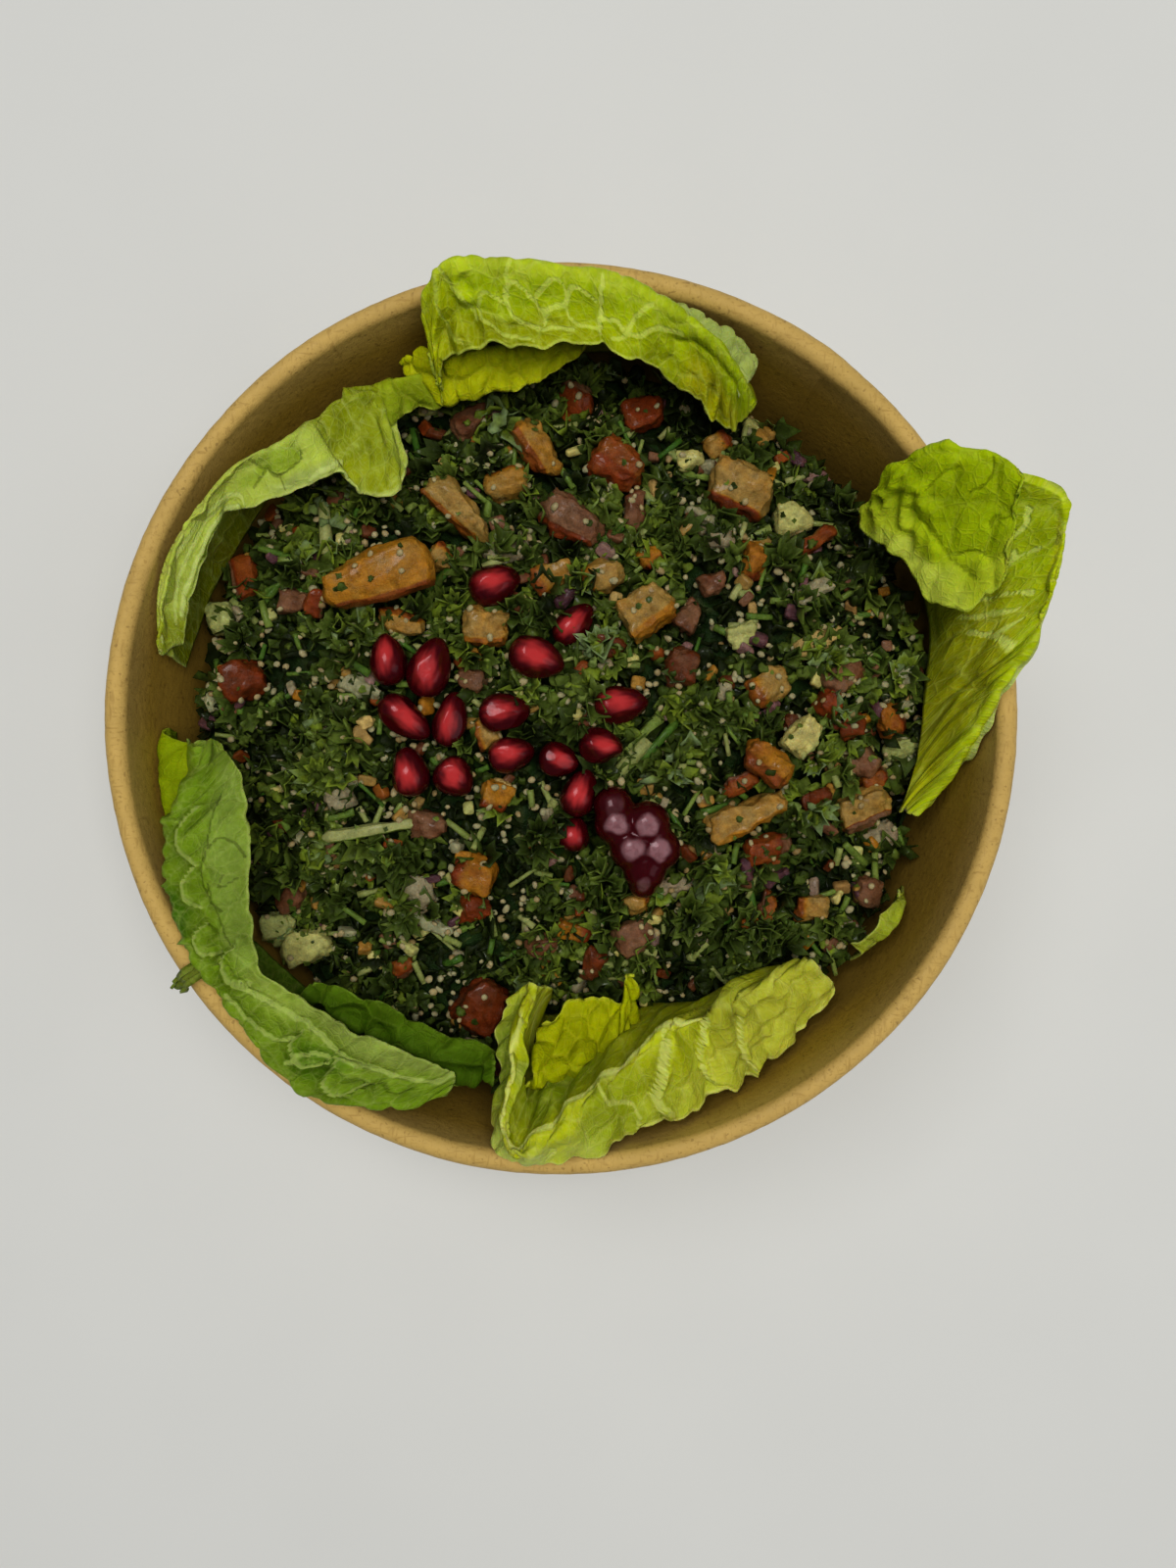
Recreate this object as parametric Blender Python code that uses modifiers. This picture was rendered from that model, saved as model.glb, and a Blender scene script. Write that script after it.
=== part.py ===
"""Tabbouleh in a round kraft-paper bowl, with lettuce leaves stood round its wall.

The bowl stands on z = 0 and its axis is the Z axis. Lengths in the tables are millimetres and
angles are degrees, anticlockwise from +X seen from above; MM turns them into Blender's metres.
"""

import math

import bmesh
import bpy
from mathutils import Matrix, Vector, noise

MM = 0.001

# The bowl: a tapered side of paper with a rolled rim, and a base disc set up inside it.
BOWL_HEIGHT = 60.0
RIM_RADIUS = 75.0
ROLL_RADIUS = 1.75
PAPER = 0.6
FOOT_RADIUS = 64.5
BASE_HEIGHT = 8.0
FOLD_HEIGHT = 7.0
GAP = 0.3
SKIRT_SLOT = PAPER + 2 * GAP
ROLL_STEPS = 6
ROLL_TURN = 220
BOWL_SEGMENTS = 48
MOUTH_RADIUS = RIM_RADIUS - 2 * ROLL_RADIUS
ROLL_HEIGHT = BOWL_HEIGHT - ROLL_RADIUS
WALL_SLOPE = (MOUTH_RADIUS + PAPER - FOOT_RADIUS) / ROLL_HEIGHT

# The salad: a low heap, a little short of the wall so that the leaves slip in behind it.
LEAF_ROOM = 3.4
HEAP_FLOOR = BASE_HEIGHT + PAPER + GAP
HEAP_EDGE = 40.0
HEAP_CROWN = 8.0
HEAP_RINGS = 10
HEAP_SEGMENTS = 36
LUMP_SIZE = 9.0
LUMP_RISE = 2.2
# Mounds and hollows of the heap: x, y, rise, spread.
MOUNDS = (
    (-36, 26, 4.0, 13),
    (44, 20, 5.5, 12),
    (-38, 4, 2.5, 10),
    (24, -14, 2.0, 12),
    (-18, 22, -2.5, 6),
    (-44, -40, -4.5, 11),
    (-4, -46, -4.5, 10),
    (46, 40, -3.0, 11),
    (62, -18, -4.0, 8),
)

# Each leaf is a ribbon of stations. A station is the foot, crest and lip of the leaf there,
# each as angle, radius and height. The leaf rises from foot to crest and turns over to its lip.
LEAF_THICKNESS = 0.8
RIM_ROOM = 2.2
ROOM_REACH = 0.02
LEAF_ACROSS = 4
LEAF_STEPS_PER_STATION = 2
LEAVES = {
    "leaf_top": (
        ((59, 66.5, 43), (58, 64.5, 50), (60, 58.0, 47)),
        ((61, 67.5, 45), (62, 67.0, 57), (64, 58.5, 50)),
        ((66, 68.0, 46), (67.5, 68.6, 62), (70, 59.5, 55)),
        ((71, 68.5, 47), (74.5, 68.6, 65), (76, 59.5, 60)),
        ((79, 67.5, 43), (82, 69.2, 67), (80, 58.5, 62)),
        ((88, 66.5, 42), (90, 70.2, 68), (86, 60.0, 63)),
        ((94, 64.5, 42), (98, 71.2, 69), (95, 59.6, 63)),
        ((99, 62.5, 44), (104, 72.4, 69.5), (103, 61.5, 62)),
        ((105, 62.0, 45), (108, 69.4, 66), (108, 62.0, 58)),
        ((110, 59.0, 45.5), (110, 63.5, 58), (111, 57.0, 50)),
    ),
    "leaf_left": (
        ((173, 68.2, 43), (172, 69.2, 52), (170, 66.6, 49)),
        ((167, 67.4, 43), (163, 70.2, 57), (163, 65.4, 54)),
        ((160, 66.8, 43), (157, 70.0, 59), (157, 65.1, 56)),
        ((152, 66.0, 43), (150, 68.5, 60), (150, 65.2, 57)),
        ((145, 66.0, 43), (142, 67.2, 61), (146, 62.8, 57)),
        ((139, 66.0, 43), (136, 64.0, 62), (140, 57.5, 59)),
        ((133, 65.5, 43), (130, 62.0, 61), (132.2, 54.8, 58)),
        ((127, 65.5, 45), (127, 59.5, 57), (131.5, 50.6, 55)),
        ((121, 65.5, 46), (122, 58.0, 54), (126.2, 46.8, 53)),
        ((114, 64.0, 45), (116, 59.5, 50), (120, 53.0, 49.5)),
    ),
    "leaf_front_left": (
        ((182, 65.5, 45), (183, 61.5, 53), (184, 58.5, 52)),
        ((187, 66.5, 45), (187, 60.5, 58), (187, 55.5, 56)),
        ((192, 66.5, 45), (191, 63.0, 60), (192, 53.5, 57)),
        ((198, 67.0, 44), (197, 67.0, 61), (199, 54.5, 58)),
        ((205, 67.8, 43), (205, 69.5, 61.5), (208, 58.0, 58.5)),
        ((212, 68.0, 42), (213, 71.0, 62), (215, 61.5, 59)),
        ((220, 66.5, 42), (221, 71.0, 63), (221, 63.8, 60)),
        ((227.5, 65.5, 42), (228, 71.5, 65), (229, 61.8, 60.5)),
        ((234, 62.6, 42), (235, 72.0, 66), (237, 60.8, 60)),
        ((242, 61.0, 42), (241, 70.5, 64), (244, 60.5, 59)),
        ((250, 61.4, 43), (248, 68.0, 61), (250, 60.8, 58)),
        ((257, 64.0, 44), (254, 64.5, 57), (254, 61.8, 56)),
    ),
    "leaf_front": (
        ((268, 46.5, 44), (265, 45.0, 51), (262, 46.5, 47)),
        ((267, 49.5, 41), (262.5, 51.0, 57), (258.5, 53.5, 50)),
        ((266, 51.5, 39), (263, 58.0, 60), (259, 60.0, 52)),
        ((266.5, 52.5, 38), (262, 64.6, 63), (260, 67.8, 56)),
        ((270, 52.5, 38), (264, 68.9, 66), (262.5, 72.0, 62.5)),
        ((276, 52.0, 38), (269, 68.0, 66), (269.5, 71.8, 62.4)),
        ((283, 51.0, 38), (276, 61.5, 64), (279, 70.4, 57)),
        ((288, 49.5, 39), (288, 55.2, 61), (288, 69.6, 53)),
        ((295, 51.0, 41), (297, 54.0, 58), (295, 68.6, 50)),
        ((303, 53.0, 43), (306, 55.2, 54.5), (304, 68.2, 47)),
        ((316, 59.5, 43), (317, 60.0, 49.5), (316, 67.2, 46)),
    ),
    "leaf_right": (
        ((-15, 62.5, 41), (-15, 64.0, 44), (-14, 65.8, 41)),
        ((-8, 63.0, 43), (-9, 66.8, 48), (-8, 68.6, 44)),
        ((-4, 63.2, 44), (-3, 68.4, 55), (-3, 69.4, 54)),
        ((1, 63.4, 45), (4, 71.2, 62.5), (4, 72.4, 63)),
        ((5, 64.0, 45), (9, 75.6, 67), (9, 77.0, 65.5)),
        ((10, 65.5, 45), (14.5, 77.8, 72.5), (14.3, 78.1, 71)),
        ((14, 67.0, 44), (19.4, 79.6, 75.5), (19, 77.0, 75)),
        ((18, 68.0, 43), (23.5, 80.8, 76.5), (21, 72.6, 73.5)),
        ((22, 68.6, 43), (28.5, 77.4, 75.5), (17, 69.0, 68)),
        ((27, 68.6, 43), (33, 73.0, 74), (18, 61.5, 62)),
        ((31, 68.4, 43), (35, 65.8, 70), (31, 57.0, 61)),
    ),
    "leaf_lobe": (
        ((181, 68.4, 44), (182, 68.9, 47.5), (183, 68.2, 47.2)),
        ((185, 68.6, 43), (186, 69.4, 52), (186.5, 67.8, 53)),
        ((191, 68.8, 43), (190.5, 69.6, 53), (190.5, 67.6, 54)),
        ((197, 68.8, 43), (196, 69.4, 49), (195.5, 68.6, 49.5)),
    ),
    "leaf_sliver": (
        ((320, 66.5, 41), (321, 65.6, 46), (322, 64.0, 45)),
        ((325, 67.4, 40), (326, 67.2, 48), (326, 64.5, 48)),
        ((331, 67.6, 40), (331, 67.0, 49), (331, 65.0, 49)),
        ((335, 67.6, 40), (334, 66.6, 45), (334, 65.5, 45)),
    ),
}

# Pomegranate seeds, each lying where it was dropped: x, y, length, width, turn, height over the heap.
SEED_TAPER = 0.22
SEEDS = (
    (-11.7, 23.8, 9.4, 6.8, 20, 2.4),
    (2.0, 16.9, 8.8, 5.6, 48, 1.0),
    (-4.4, 10.9, 10.0, 7.0, -20, 2.2),
    (-29.8, 10.6, 9.2, 6.2, 97, 1.8),
    (-22.5, 9.2, 10.8, 7.0, 72, 2.4),
    (-27.0, 0.6, 10.6, 6.0, -38, 1.9),
    (-19.2, 0.4, 9.8, 5.8, 78, 2.2),
    (-26.4, -8.6, 8.8, 6.6, 100, 2.1),
    (-18.6, -9.6, 7.4, 6.6, -45, 2.3),
    (-9.9, 1.5, 9.0, 6.6, 8, 2.3),
    (-8.8, -5.6, 8.2, 6.0, 12, 2.1),
    (-0.6, -6.6, 7.2, 5.8, -12, 1.6),
    (10.1, 3.0, 9.6, 6.4, 8, 2.4),
    (6.6, -4.2, 7.8, 6.0, -8, 2.0),
    (3.0, -12.2, 8.6, 6.0, 68, 2.1),
    (2.0, -19.4, 6.2, 5.6, 80, 1.2),
)
CLUMP_PLACE = (12.6, -20.4)
CLUMP_LIFT = 2.4
# The seeds still joined in one clump: along, across, up, radius.
CLUMP_SEEDS = (
    (-3.9, 2.3, 0.0, 3.3),
    (-2.5, -2.9, 0.2, 3.5),
    (1.3, 2.6, 0.2, 3.3),
    (2.3, -2.4, 0.0, 3.2),
    (5.0, 0.6, -0.7, 2.9),
    (-6.4, 0.2, -1.0, 2.5),
)
CLUMP_TURN = -62

# Cut vegetables that stand out of the heap:
# x, y, (length, width, height), turn, tilt, lift, taper, material.
CHUNKS = {
    "tomato_wedge": (-31.0, 24.6, (18.0, 12.0, 6.5), 14, 8, 3.4, 0.45, "tomato_flesh"),
    "tomato_skin_piece": (9.4, 45.2, (10.5, 8.5, 5.0), -35, 10, 2.2, 0.25, "tomato_skin"),
    "tomato_strip": (-4.6, 48.2, (12.0, 6.2, 5.0), -58, -8, 1.6, 0.20, "tomato_skin"),
    "tomato_block": (31.0, 41.0, (12.5, 10.0, 7.5), -25, 10, 2.2, 0.15, "tomato_flesh"),
    "tomato_dice_a": (1.4, 35.2, (12.0, 7.8, 5.5), -30, 5, 1.8, 0.20, "tomato_flesh"),
    "tomato_dice_b": (-12.9, 16.5, (8.0, 7.0, 6.0), -4, 6, 1.6, 0.12, "tomato_flesh"),
    "tomato_dice_c": (14.4, 19.0, (9.5, 9.0, 5.0), 35, -6, 1.6, 0.20, "tomato_flesh"),
    "tomato_dice_d": (35.2, -7.2, (8.4, 5.6, 4.6), -38, 8, 3.6, 0.05, "tomato_skin"),
    "tomato_slice": (32.2, -16.0, (14.0, 6.6, 4.5), 25, -6, 2.2, 0.35, "tomato_flesh"),
    "tomato_dice_e": (53.4, -15.0, (9.0, 8.0, 6.0), 20, 5, 2.2, 0.20, "tomato_flesh"),
    "tomato_dice_f": (-14.6, -50.2, (10.0, 9.4, 6.5), 60, 8, 2.0, 0.20, "tomato_skin"),
    "tomato_long": (-17.6, 36.6, (14.0, 6.5, 5.5), -48, 8, 2.4, 0.30, "tomato_flesh"),
    "cucumber_dice": (41.6, -2.2, (7.4, 5.6, 4.4), 50, 10, 3.4, 0.20, "cucumber"),
    "parsley_stem": (-32.6, -18.6, (17.0, 3.0, 2.6), 9, 3, 1.8, 0.30, "stem"),
}
CHUNK_BEVEL = 0.7

COLOURS = {
    "kraft_paper": ((0.52, 0.40, 0.20), 0.75),
    "parsley": ((0.035, 0.085, 0.020), 0.45),
    "lettuce": ((0.34, 0.50, 0.06), 0.40),
    "lettuce_heart": ((0.52, 0.58, 0.04), 0.40),
    "pomegranate": ((0.28, 0.008, 0.015), 0.12),
    "tomato_flesh": ((0.42, 0.20, 0.06), 0.25),
    "tomato_skin": ((0.45, 0.09, 0.02), 0.20),
    "cucumber": ((0.48, 0.47, 0.20), 0.25),
    "stem": ((0.24, 0.29, 0.08), 0.45),
}
LEAF_MATERIALS = {"leaf_front": "lettuce_heart", "leaf_sliver": "lettuce_heart"}


def clear_scene():
    for obj in list(bpy.data.objects):
        bpy.data.objects.remove(obj)
    for old in list(bpy.data.collections):
        bpy.data.collections.remove(old)


def new_collection(name):
    collection = bpy.data.collections.new(name)
    bpy.context.scene.collection.children.link(collection)
    return collection


def new_material(name, colour, roughness):
    material = bpy.data.materials.new(name)
    material.use_nodes = True
    shader = material.node_tree.nodes["Principled BSDF"]
    shader.inputs["Base Color"].default_value = (*colour, 1.0)
    shader.inputs["Roughness"].default_value = roughness
    shader.inputs["Metallic"].default_value = 0.0
    material.diffuse_color = (*colour, 1.0)
    return material


def new_object(name, mesh, material, collection):
    obj = bpy.data.objects.new(name, mesh)
    obj.data.materials.append(material)
    collection.objects.link(obj)
    return obj


def mesh_from(bm, name):
    mesh = bpy.data.meshes.new(name)
    bm.to_mesh(mesh)
    bm.free()
    return mesh


def wall_radius(z):
    """Radius of the inner face of the bowl's side at height z."""
    return FOOT_RADIUS - PAPER + WALL_SLOPE * z


def heap_radius(z):
    return wall_radius(z) - LEAF_ROOM


def heap_height(x, y):
    """Height of the heap's top over a point of the bowl."""
    share = math.hypot(x, y) / heap_radius(HEAP_EDGE)
    z = HEAP_EDGE + HEAP_CROWN * (1 - share**2)
    for mound_x, mound_y, rise, spread in MOUNDS:
        distance = math.hypot(x - mound_x, y - mound_y)
        z += rise * math.exp(-0.5 * (distance / spread) ** 2)
    return z + LUMP_RISE * noise.noise(Vector((x, y, 0)) / LUMP_SIZE)


def turned_object(name, profile, material, collection, closed):
    """A profile of (radius, height) points turned about the Z axis by a Screw modifier."""
    bm = bmesh.new()
    points = [bm.verts.new((r * MM, 0, z * MM)) for r, z in profile]
    for first, second in zip(points, points[1:]):
        bm.edges.new((first, second))
    if closed:
        bm.edges.new((points[-1], points[0]))
    obj = new_object(name, mesh_from(bm, name), material, collection)
    screw = obj.modifiers.new("Turn", "SCREW")
    screw.steps = BOWL_SEGMENTS
    screw.render_steps = BOWL_SEGMENTS
    screw.use_merge_vertices = True
    screw.merge_threshold = 0.00001
    screw.use_smooth_shade = True
    return obj


def roll_point(degrees):
    """A point of the rolled rim's outline, round the middle of the roll."""
    turn = math.radians(degrees)
    across = RIM_RADIUS - ROLL_RADIUS + ROLL_RADIUS * math.cos(turn)
    return across, ROLL_HEIGHT + ROLL_RADIUS * math.sin(turn)


def make_bowl_side(material, collection):
    """The side: rolled rim, tapered wall, and the foot folded up inside round the base's skirt."""
    profile = [roll_point(90 - step * ROLL_TURN / ROLL_STEPS) for step in range(ROLL_STEPS + 1)]
    profile += [
        (FOOT_RADIUS, 0),
        (wall_radius(0) - SKIRT_SLOT - PAPER, 0),
        (wall_radius(FOLD_HEIGHT) - SKIRT_SLOT - PAPER, FOLD_HEIGHT),
        (wall_radius(FOLD_HEIGHT) - SKIRT_SLOT, FOLD_HEIGHT),
        (wall_radius(PAPER) - SKIRT_SLOT, PAPER),
        (wall_radius(PAPER), PAPER),
        (MOUTH_RADIUS, ROLL_HEIGHT),
        roll_point(150),
        roll_point(120),
    ]
    return turned_object("bowl_side", profile, material, collection, closed=True)


def make_bowl_base(material, collection):
    """The base disc, with its skirt turned down into the fold of the side."""
    top = BASE_HEIGHT + PAPER
    skirt_end = PAPER + GAP
    profile = (
        (0, top),
        (wall_radius(top) - GAP, top),
        (wall_radius(skirt_end) - GAP, skirt_end),
        (wall_radius(skirt_end) - GAP - PAPER, skirt_end),
        (wall_radius(BASE_HEIGHT) - GAP - PAPER, BASE_HEIGHT),
        (0, BASE_HEIGHT),
    )
    return turned_object("bowl_base", profile, material, collection, closed=False)


def make_heap(material, collection):
    """The salad: a turned solid whose top is then raised to the heap's mounds and lumps."""
    bm = bmesh.new()
    low = heap_radius(HEAP_FLOOR)
    high = heap_radius(HEAP_EDGE)
    profile = [(0, HEAP_FLOOR), (low * 0.5, HEAP_FLOOR), (low, HEAP_FLOOR)]
    profile.append(((low + high) / 2, (HEAP_FLOOR + HEAP_EDGE) / 2))
    profile += [(high * ring / HEAP_RINGS, HEAP_EDGE) for ring in range(HEAP_RINGS, -1, -1)]
    points = [bm.verts.new((r * MM, 0, z * MM)) for r, z in profile]
    for first, second in zip(points, points[1:]):
        bm.edges.new((first, second))
    bmesh.ops.spin(
        bm,
        geom=bm.verts[:] + bm.edges[:],
        cent=(0, 0, 0),
        axis=(0, 0, 1),
        angle=2 * math.pi,
        steps=HEAP_SEGMENTS,
        use_merge=True,
    )
    bmesh.ops.remove_doubles(bm, verts=bm.verts, dist=0.01 * MM)
    bmesh.ops.recalc_face_normals(bm, faces=bm.faces)
    for vert in bm.verts:
        if vert.co.z > (HEAP_EDGE - 1) * MM:
            vert.co.z = heap_height(vert.co.x / MM, vert.co.y / MM) * MM
    return new_object("salad", mesh_from(bm, "salad"), material, collection)


def polar(point):
    angle, radius, height = point
    turn = math.radians(angle)
    return Vector((radius * math.cos(turn), radius * math.sin(turn), height)) * MM


def spline(points, t):
    """The smooth curve through the points, at t from 0 at the first to 1 at the last."""
    place = t * (len(points) - 1)
    i = min(int(place), len(points) - 2)
    s = place - i
    before = points[i - 1] if i else 2 * points[0] - points[1]
    after = points[i + 2] if i + 2 < len(points) else 2 * points[-1] - points[-2]
    start, end = points[i], points[i + 1]
    bend = 2 * start + (end - before) * s
    bend += (2 * before - 5 * start + 4 * end - after) * s**2
    bend += (3 * start - before - 3 * end + after) * s**3
    return bend / 2


def waist(station):
    """Half way from foot to crest; a leaf that leans out over the rim first rises past it."""
    foot, crest = station[:2]
    middle = [(low + high) / 2 for low, high in zip(foot, crest)]
    if crest[1] > MOUTH_RADIUS:
        middle[1:] = MOUTH_RADIUS - RIM_ROOM, BOWL_HEIGHT
    return middle


def leaf_point(stations, u, v):
    """A point of the leaf: u runs along its stations, and v from its foot over the crest to its lip."""
    lines = zip(*((s[0], waist(s), s[1], s[2]) for s in stations))
    foot, middle, crest, lip = (spline([polar(point) for point in line], u) for line in lines)
    return spline([foot, middle, crest, (crest + lip) / 2, lip], v)


def leaf_sheet(name, stations, material, collection, thickness, reach=0.0):
    """The leaf as an open grid laid on its stations and given its thickness. reach carries it past its edges."""
    along = (len(stations) - 1) * LEAF_STEPS_PER_STATION
    bm = bmesh.new()
    bmesh.ops.create_grid(bm, x_segments=along, y_segments=LEAF_ACROSS, size=0.5)
    for vert in bm.verts:
        u, v = (0.5 + (1 + 2 * reach) * along for along in vert.co.xy)
        vert.co = leaf_point(stations, u, v)
    obj = new_object(name, mesh_from(bm, name), material, collection)
    solidify = obj.modifiers.new("Thickness", "SOLIDIFY")
    solidify.thickness = thickness * MM
    solidify.offset = 0
    return obj


def place_on_heap(bm, x, y, lift, turn, tilt=0.0):
    """Tilts and turns the shape, and sets it lift above the heap's top at x, y."""
    rotation = Matrix.Rotation(math.radians(turn), 4, "Z") @ Matrix.Rotation(math.radians(tilt), 4, "X")
    place = Vector((x, y, heap_height(x, y) + lift)) * MM
    bmesh.ops.transform(bm, matrix=Matrix.Translation(place) @ rotation, verts=bm.verts)


def seed_mesh(name, seed, grow=0.0):
    """A pomegranate seed: an egg shape, thinner at one end. grow thickens it all round."""
    x, y, length, width, turn, lift = seed
    bm = bmesh.new()
    bmesh.ops.create_icosphere(bm, subdivisions=2, radius=1)
    for vert in bm.verts:
        taper = 1 - SEED_TAPER * vert.co.x
        vert.co.x *= length / 2 + grow
        vert.co.y *= (width / 2) * taper + grow
        vert.co.z *= (width / 2) * 0.92 * taper + grow
        vert.co *= MM
    place_on_heap(bm, x, y, lift, turn)
    return mesh_from(bm, name)


def chunk_mesh(name, chunk, grow=0.0):
    """A cut piece: a bevelled block, narrower towards one end and at its top."""
    x, y, size, turn, tilt, lift, taper, _ = chunk
    bm = bmesh.new()
    bmesh.ops.create_cube(bm, size=1)
    for vert in bm.verts:
        narrow = 1 - taper * (vert.co.x + 0.5) - 0.12 * (vert.co.z + 0.5)
        vert.co.x *= size[0] + 2 * grow
        vert.co.y *= size[1] * narrow + 2 * grow
        vert.co.z *= size[2] + 2 * grow
        vert.co *= MM
    bmesh.ops.bevel(
        bm,
        geom=bm.edges[:],
        offset=CHUNK_BEVEL * MM,
        segments=1,
        profile=0.5,
        affect="EDGES",
        material=-1,
    )
    place_on_heap(bm, x, y, lift, turn, tilt)
    return mesh_from(bm, name)


def clump_object(name, material, collection, grow=0.0):
    """Pomegranate seeds still joined in one clump, united from round seeds that overlap."""
    whole = None
    for number, (along, across, up, radius) in enumerate(CLUMP_SEEDS):
        bm = bmesh.new()
        bmesh.ops.create_icosphere(bm, subdivisions=2, radius=(radius + grow) * MM)
        shift = Vector((along, across, up)) * MM
        bmesh.ops.translate(bm, vec=shift, verts=bm.verts)
        place_on_heap(bm, *CLUMP_PLACE, CLUMP_LIFT, CLUMP_TURN)
        seed = new_object(f"{name}_{number}", mesh_from(bm, name), material, collection)
        if whole is None:
            whole = seed
            whole.name = name
            continue
        add_boolean(whole, seed, "UNION")
        hide_helper(seed)
    return whole


def add_boolean(obj, other, operation):
    boolean = obj.modifiers.new(f"{operation.title()} {other.name}", "BOOLEAN")
    boolean.operation = operation
    boolean.object = other


def hide_helper(obj):
    obj.hide_render = True
    obj.display_type = "WIRE"


def cut_from_heap(heap, cutter):
    add_boolean(heap, cutter, "DIFFERENCE")
    hide_helper(cutter)


def main():
    clear_scene()
    salad_parts = new_collection("tabbouleh_salad")
    cutters = new_collection("cutters")
    paints = {name: new_material(name, *look) for name, look in COLOURS.items()}
    make_bowl_side(paints["kraft_paper"], salad_parts)
    make_bowl_base(paints["kraft_paper"], salad_parts)
    heap = make_heap(paints["parsley"], salad_parts)
    for name, stations in LEAVES.items():
        paint = paints[LEAF_MATERIALS.get(name, "lettuce")]
        leaf_sheet(name, stations, paint, salad_parts, LEAF_THICKNESS)
        room = LEAF_THICKNESS + 3 * GAP
        cut_from_heap(heap, leaf_sheet(f"{name}_room", stations, paint, cutters, room, ROOM_REACH))
    for number, seed in enumerate(SEEDS, 1):
        name = f"seed_{number:02d}"
        new_object(name, seed_mesh(name, seed), paints["pomegranate"], salad_parts)
        room = new_object(f"{name}_room", seed_mesh(name, seed, GAP), paints["pomegranate"], cutters)
        cut_from_heap(heap, room)
    clump_object("seed_clump", paints["pomegranate"], salad_parts)
    cut_from_heap(heap, clump_object("seed_clump_room", paints["pomegranate"], cutters, GAP))
    for name, chunk in CHUNKS.items():
        paint = paints[chunk[-1]]
        new_object(name, chunk_mesh(name, chunk), paint, salad_parts)
        room = new_object(f"{name}_room", chunk_mesh(name, chunk, GAP), paint, cutters)
        cut_from_heap(heap, room)


main()
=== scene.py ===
"""Tabbouleh with pomegranate seeds in a kraft-paper bowl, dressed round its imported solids.

Tables give millimetres and degrees, anticlockwise from +X seen from above. MM turns them to metres.
"""

import math
import random

import bmesh
import bpy
import numpy as np
from bpy.props import FloatProperty, FloatVectorProperty, IntProperty, PointerProperty
from mathutils import Euler, Matrix, Vector, kdtree, noise
from mathutils.bvhtree import BVHTree


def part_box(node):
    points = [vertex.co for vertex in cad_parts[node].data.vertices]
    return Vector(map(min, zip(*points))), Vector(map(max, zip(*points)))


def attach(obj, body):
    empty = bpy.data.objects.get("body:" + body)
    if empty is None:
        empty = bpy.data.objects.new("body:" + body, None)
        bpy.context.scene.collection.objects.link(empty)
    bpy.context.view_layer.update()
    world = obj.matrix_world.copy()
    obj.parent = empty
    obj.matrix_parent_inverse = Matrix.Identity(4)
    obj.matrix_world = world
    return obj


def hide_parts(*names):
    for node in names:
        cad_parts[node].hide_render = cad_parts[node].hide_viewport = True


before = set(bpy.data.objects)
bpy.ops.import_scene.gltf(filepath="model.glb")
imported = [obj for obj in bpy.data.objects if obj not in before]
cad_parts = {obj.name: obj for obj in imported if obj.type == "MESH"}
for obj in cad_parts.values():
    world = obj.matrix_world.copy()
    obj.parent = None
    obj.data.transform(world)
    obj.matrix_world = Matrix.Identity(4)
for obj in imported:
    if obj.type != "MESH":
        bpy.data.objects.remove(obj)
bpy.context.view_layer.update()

bl_info = {
    "name": "Tabbouleh salad bowl",
    "version": (1, 0, 0),
    "blender": (4, 5, 0),
    "location": "View3D > Sidebar > Salad",
    "description": "Builds a bowl of tabbouleh with lettuce leaves and pomegranate seeds",
    "category": "Add Mesh",
}

MM = 0.001
BODY = "root"

# ---------------------------------------------------------------- sizes of the bowl

BOWL_LOW, BOWL_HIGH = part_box("bowl_side")
BOWL_HEIGHT = BOWL_HIGH[2] / MM
RIM_RADIUS = 75.0
ROLL_RADIUS = 1.75
PAPER = 0.6
FOOT_RADIUS = 64.5
BASE_HEIGHT = 8.0
FOLD_HEIGHT = 7.0
GAP = 0.3
SKIRT_SLOT = PAPER + 2 * GAP
ROLL_TURN = 220
MOUTH_RADIUS = RIM_RADIUS - 2 * ROLL_RADIUS
ROLL_HEIGHT = BOWL_HEIGHT - ROLL_RADIUS
WALL_SLOPE = (MOUTH_RADIUS + PAPER - FOOT_RADIUS) / ROLL_HEIGHT
# The paper's ends overlap here: where the overlap starts and stops, and how thick it looks.
SEAM_START = 53.0
SEAM_STOP = 59.0
SEAM_STEP = 0.35

# ---------------------------------------------------------------- shape of the heap

LEAF_ROOM = 3.4
HEAP_EDGE = 40.0
HEAP_CROWN = 8.0
LUMP_SIZE = 9.0
LUMP_RISE = 2.2
# Mounds and hollows of the heap: x, y, rise, spread.
MOUNDS = (
    (-36, 26, 4.0, 13),
    (44, 20, 5.5, 12),
    (-38, 4, 2.5, 10),
    (24, -14, 2.0, 12),
    (-18, 22, -2.5, 6),
    (-44, -40, -4.5, 11),
    (-4, -46, -4.5, 10),
    (46, 40, -3.0, 11),
    (62, -18, -4.0, 8),
)

# ---------------------------------------------------------------- the lettuce leaves

RIM_ROOM = 2.2
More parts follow.
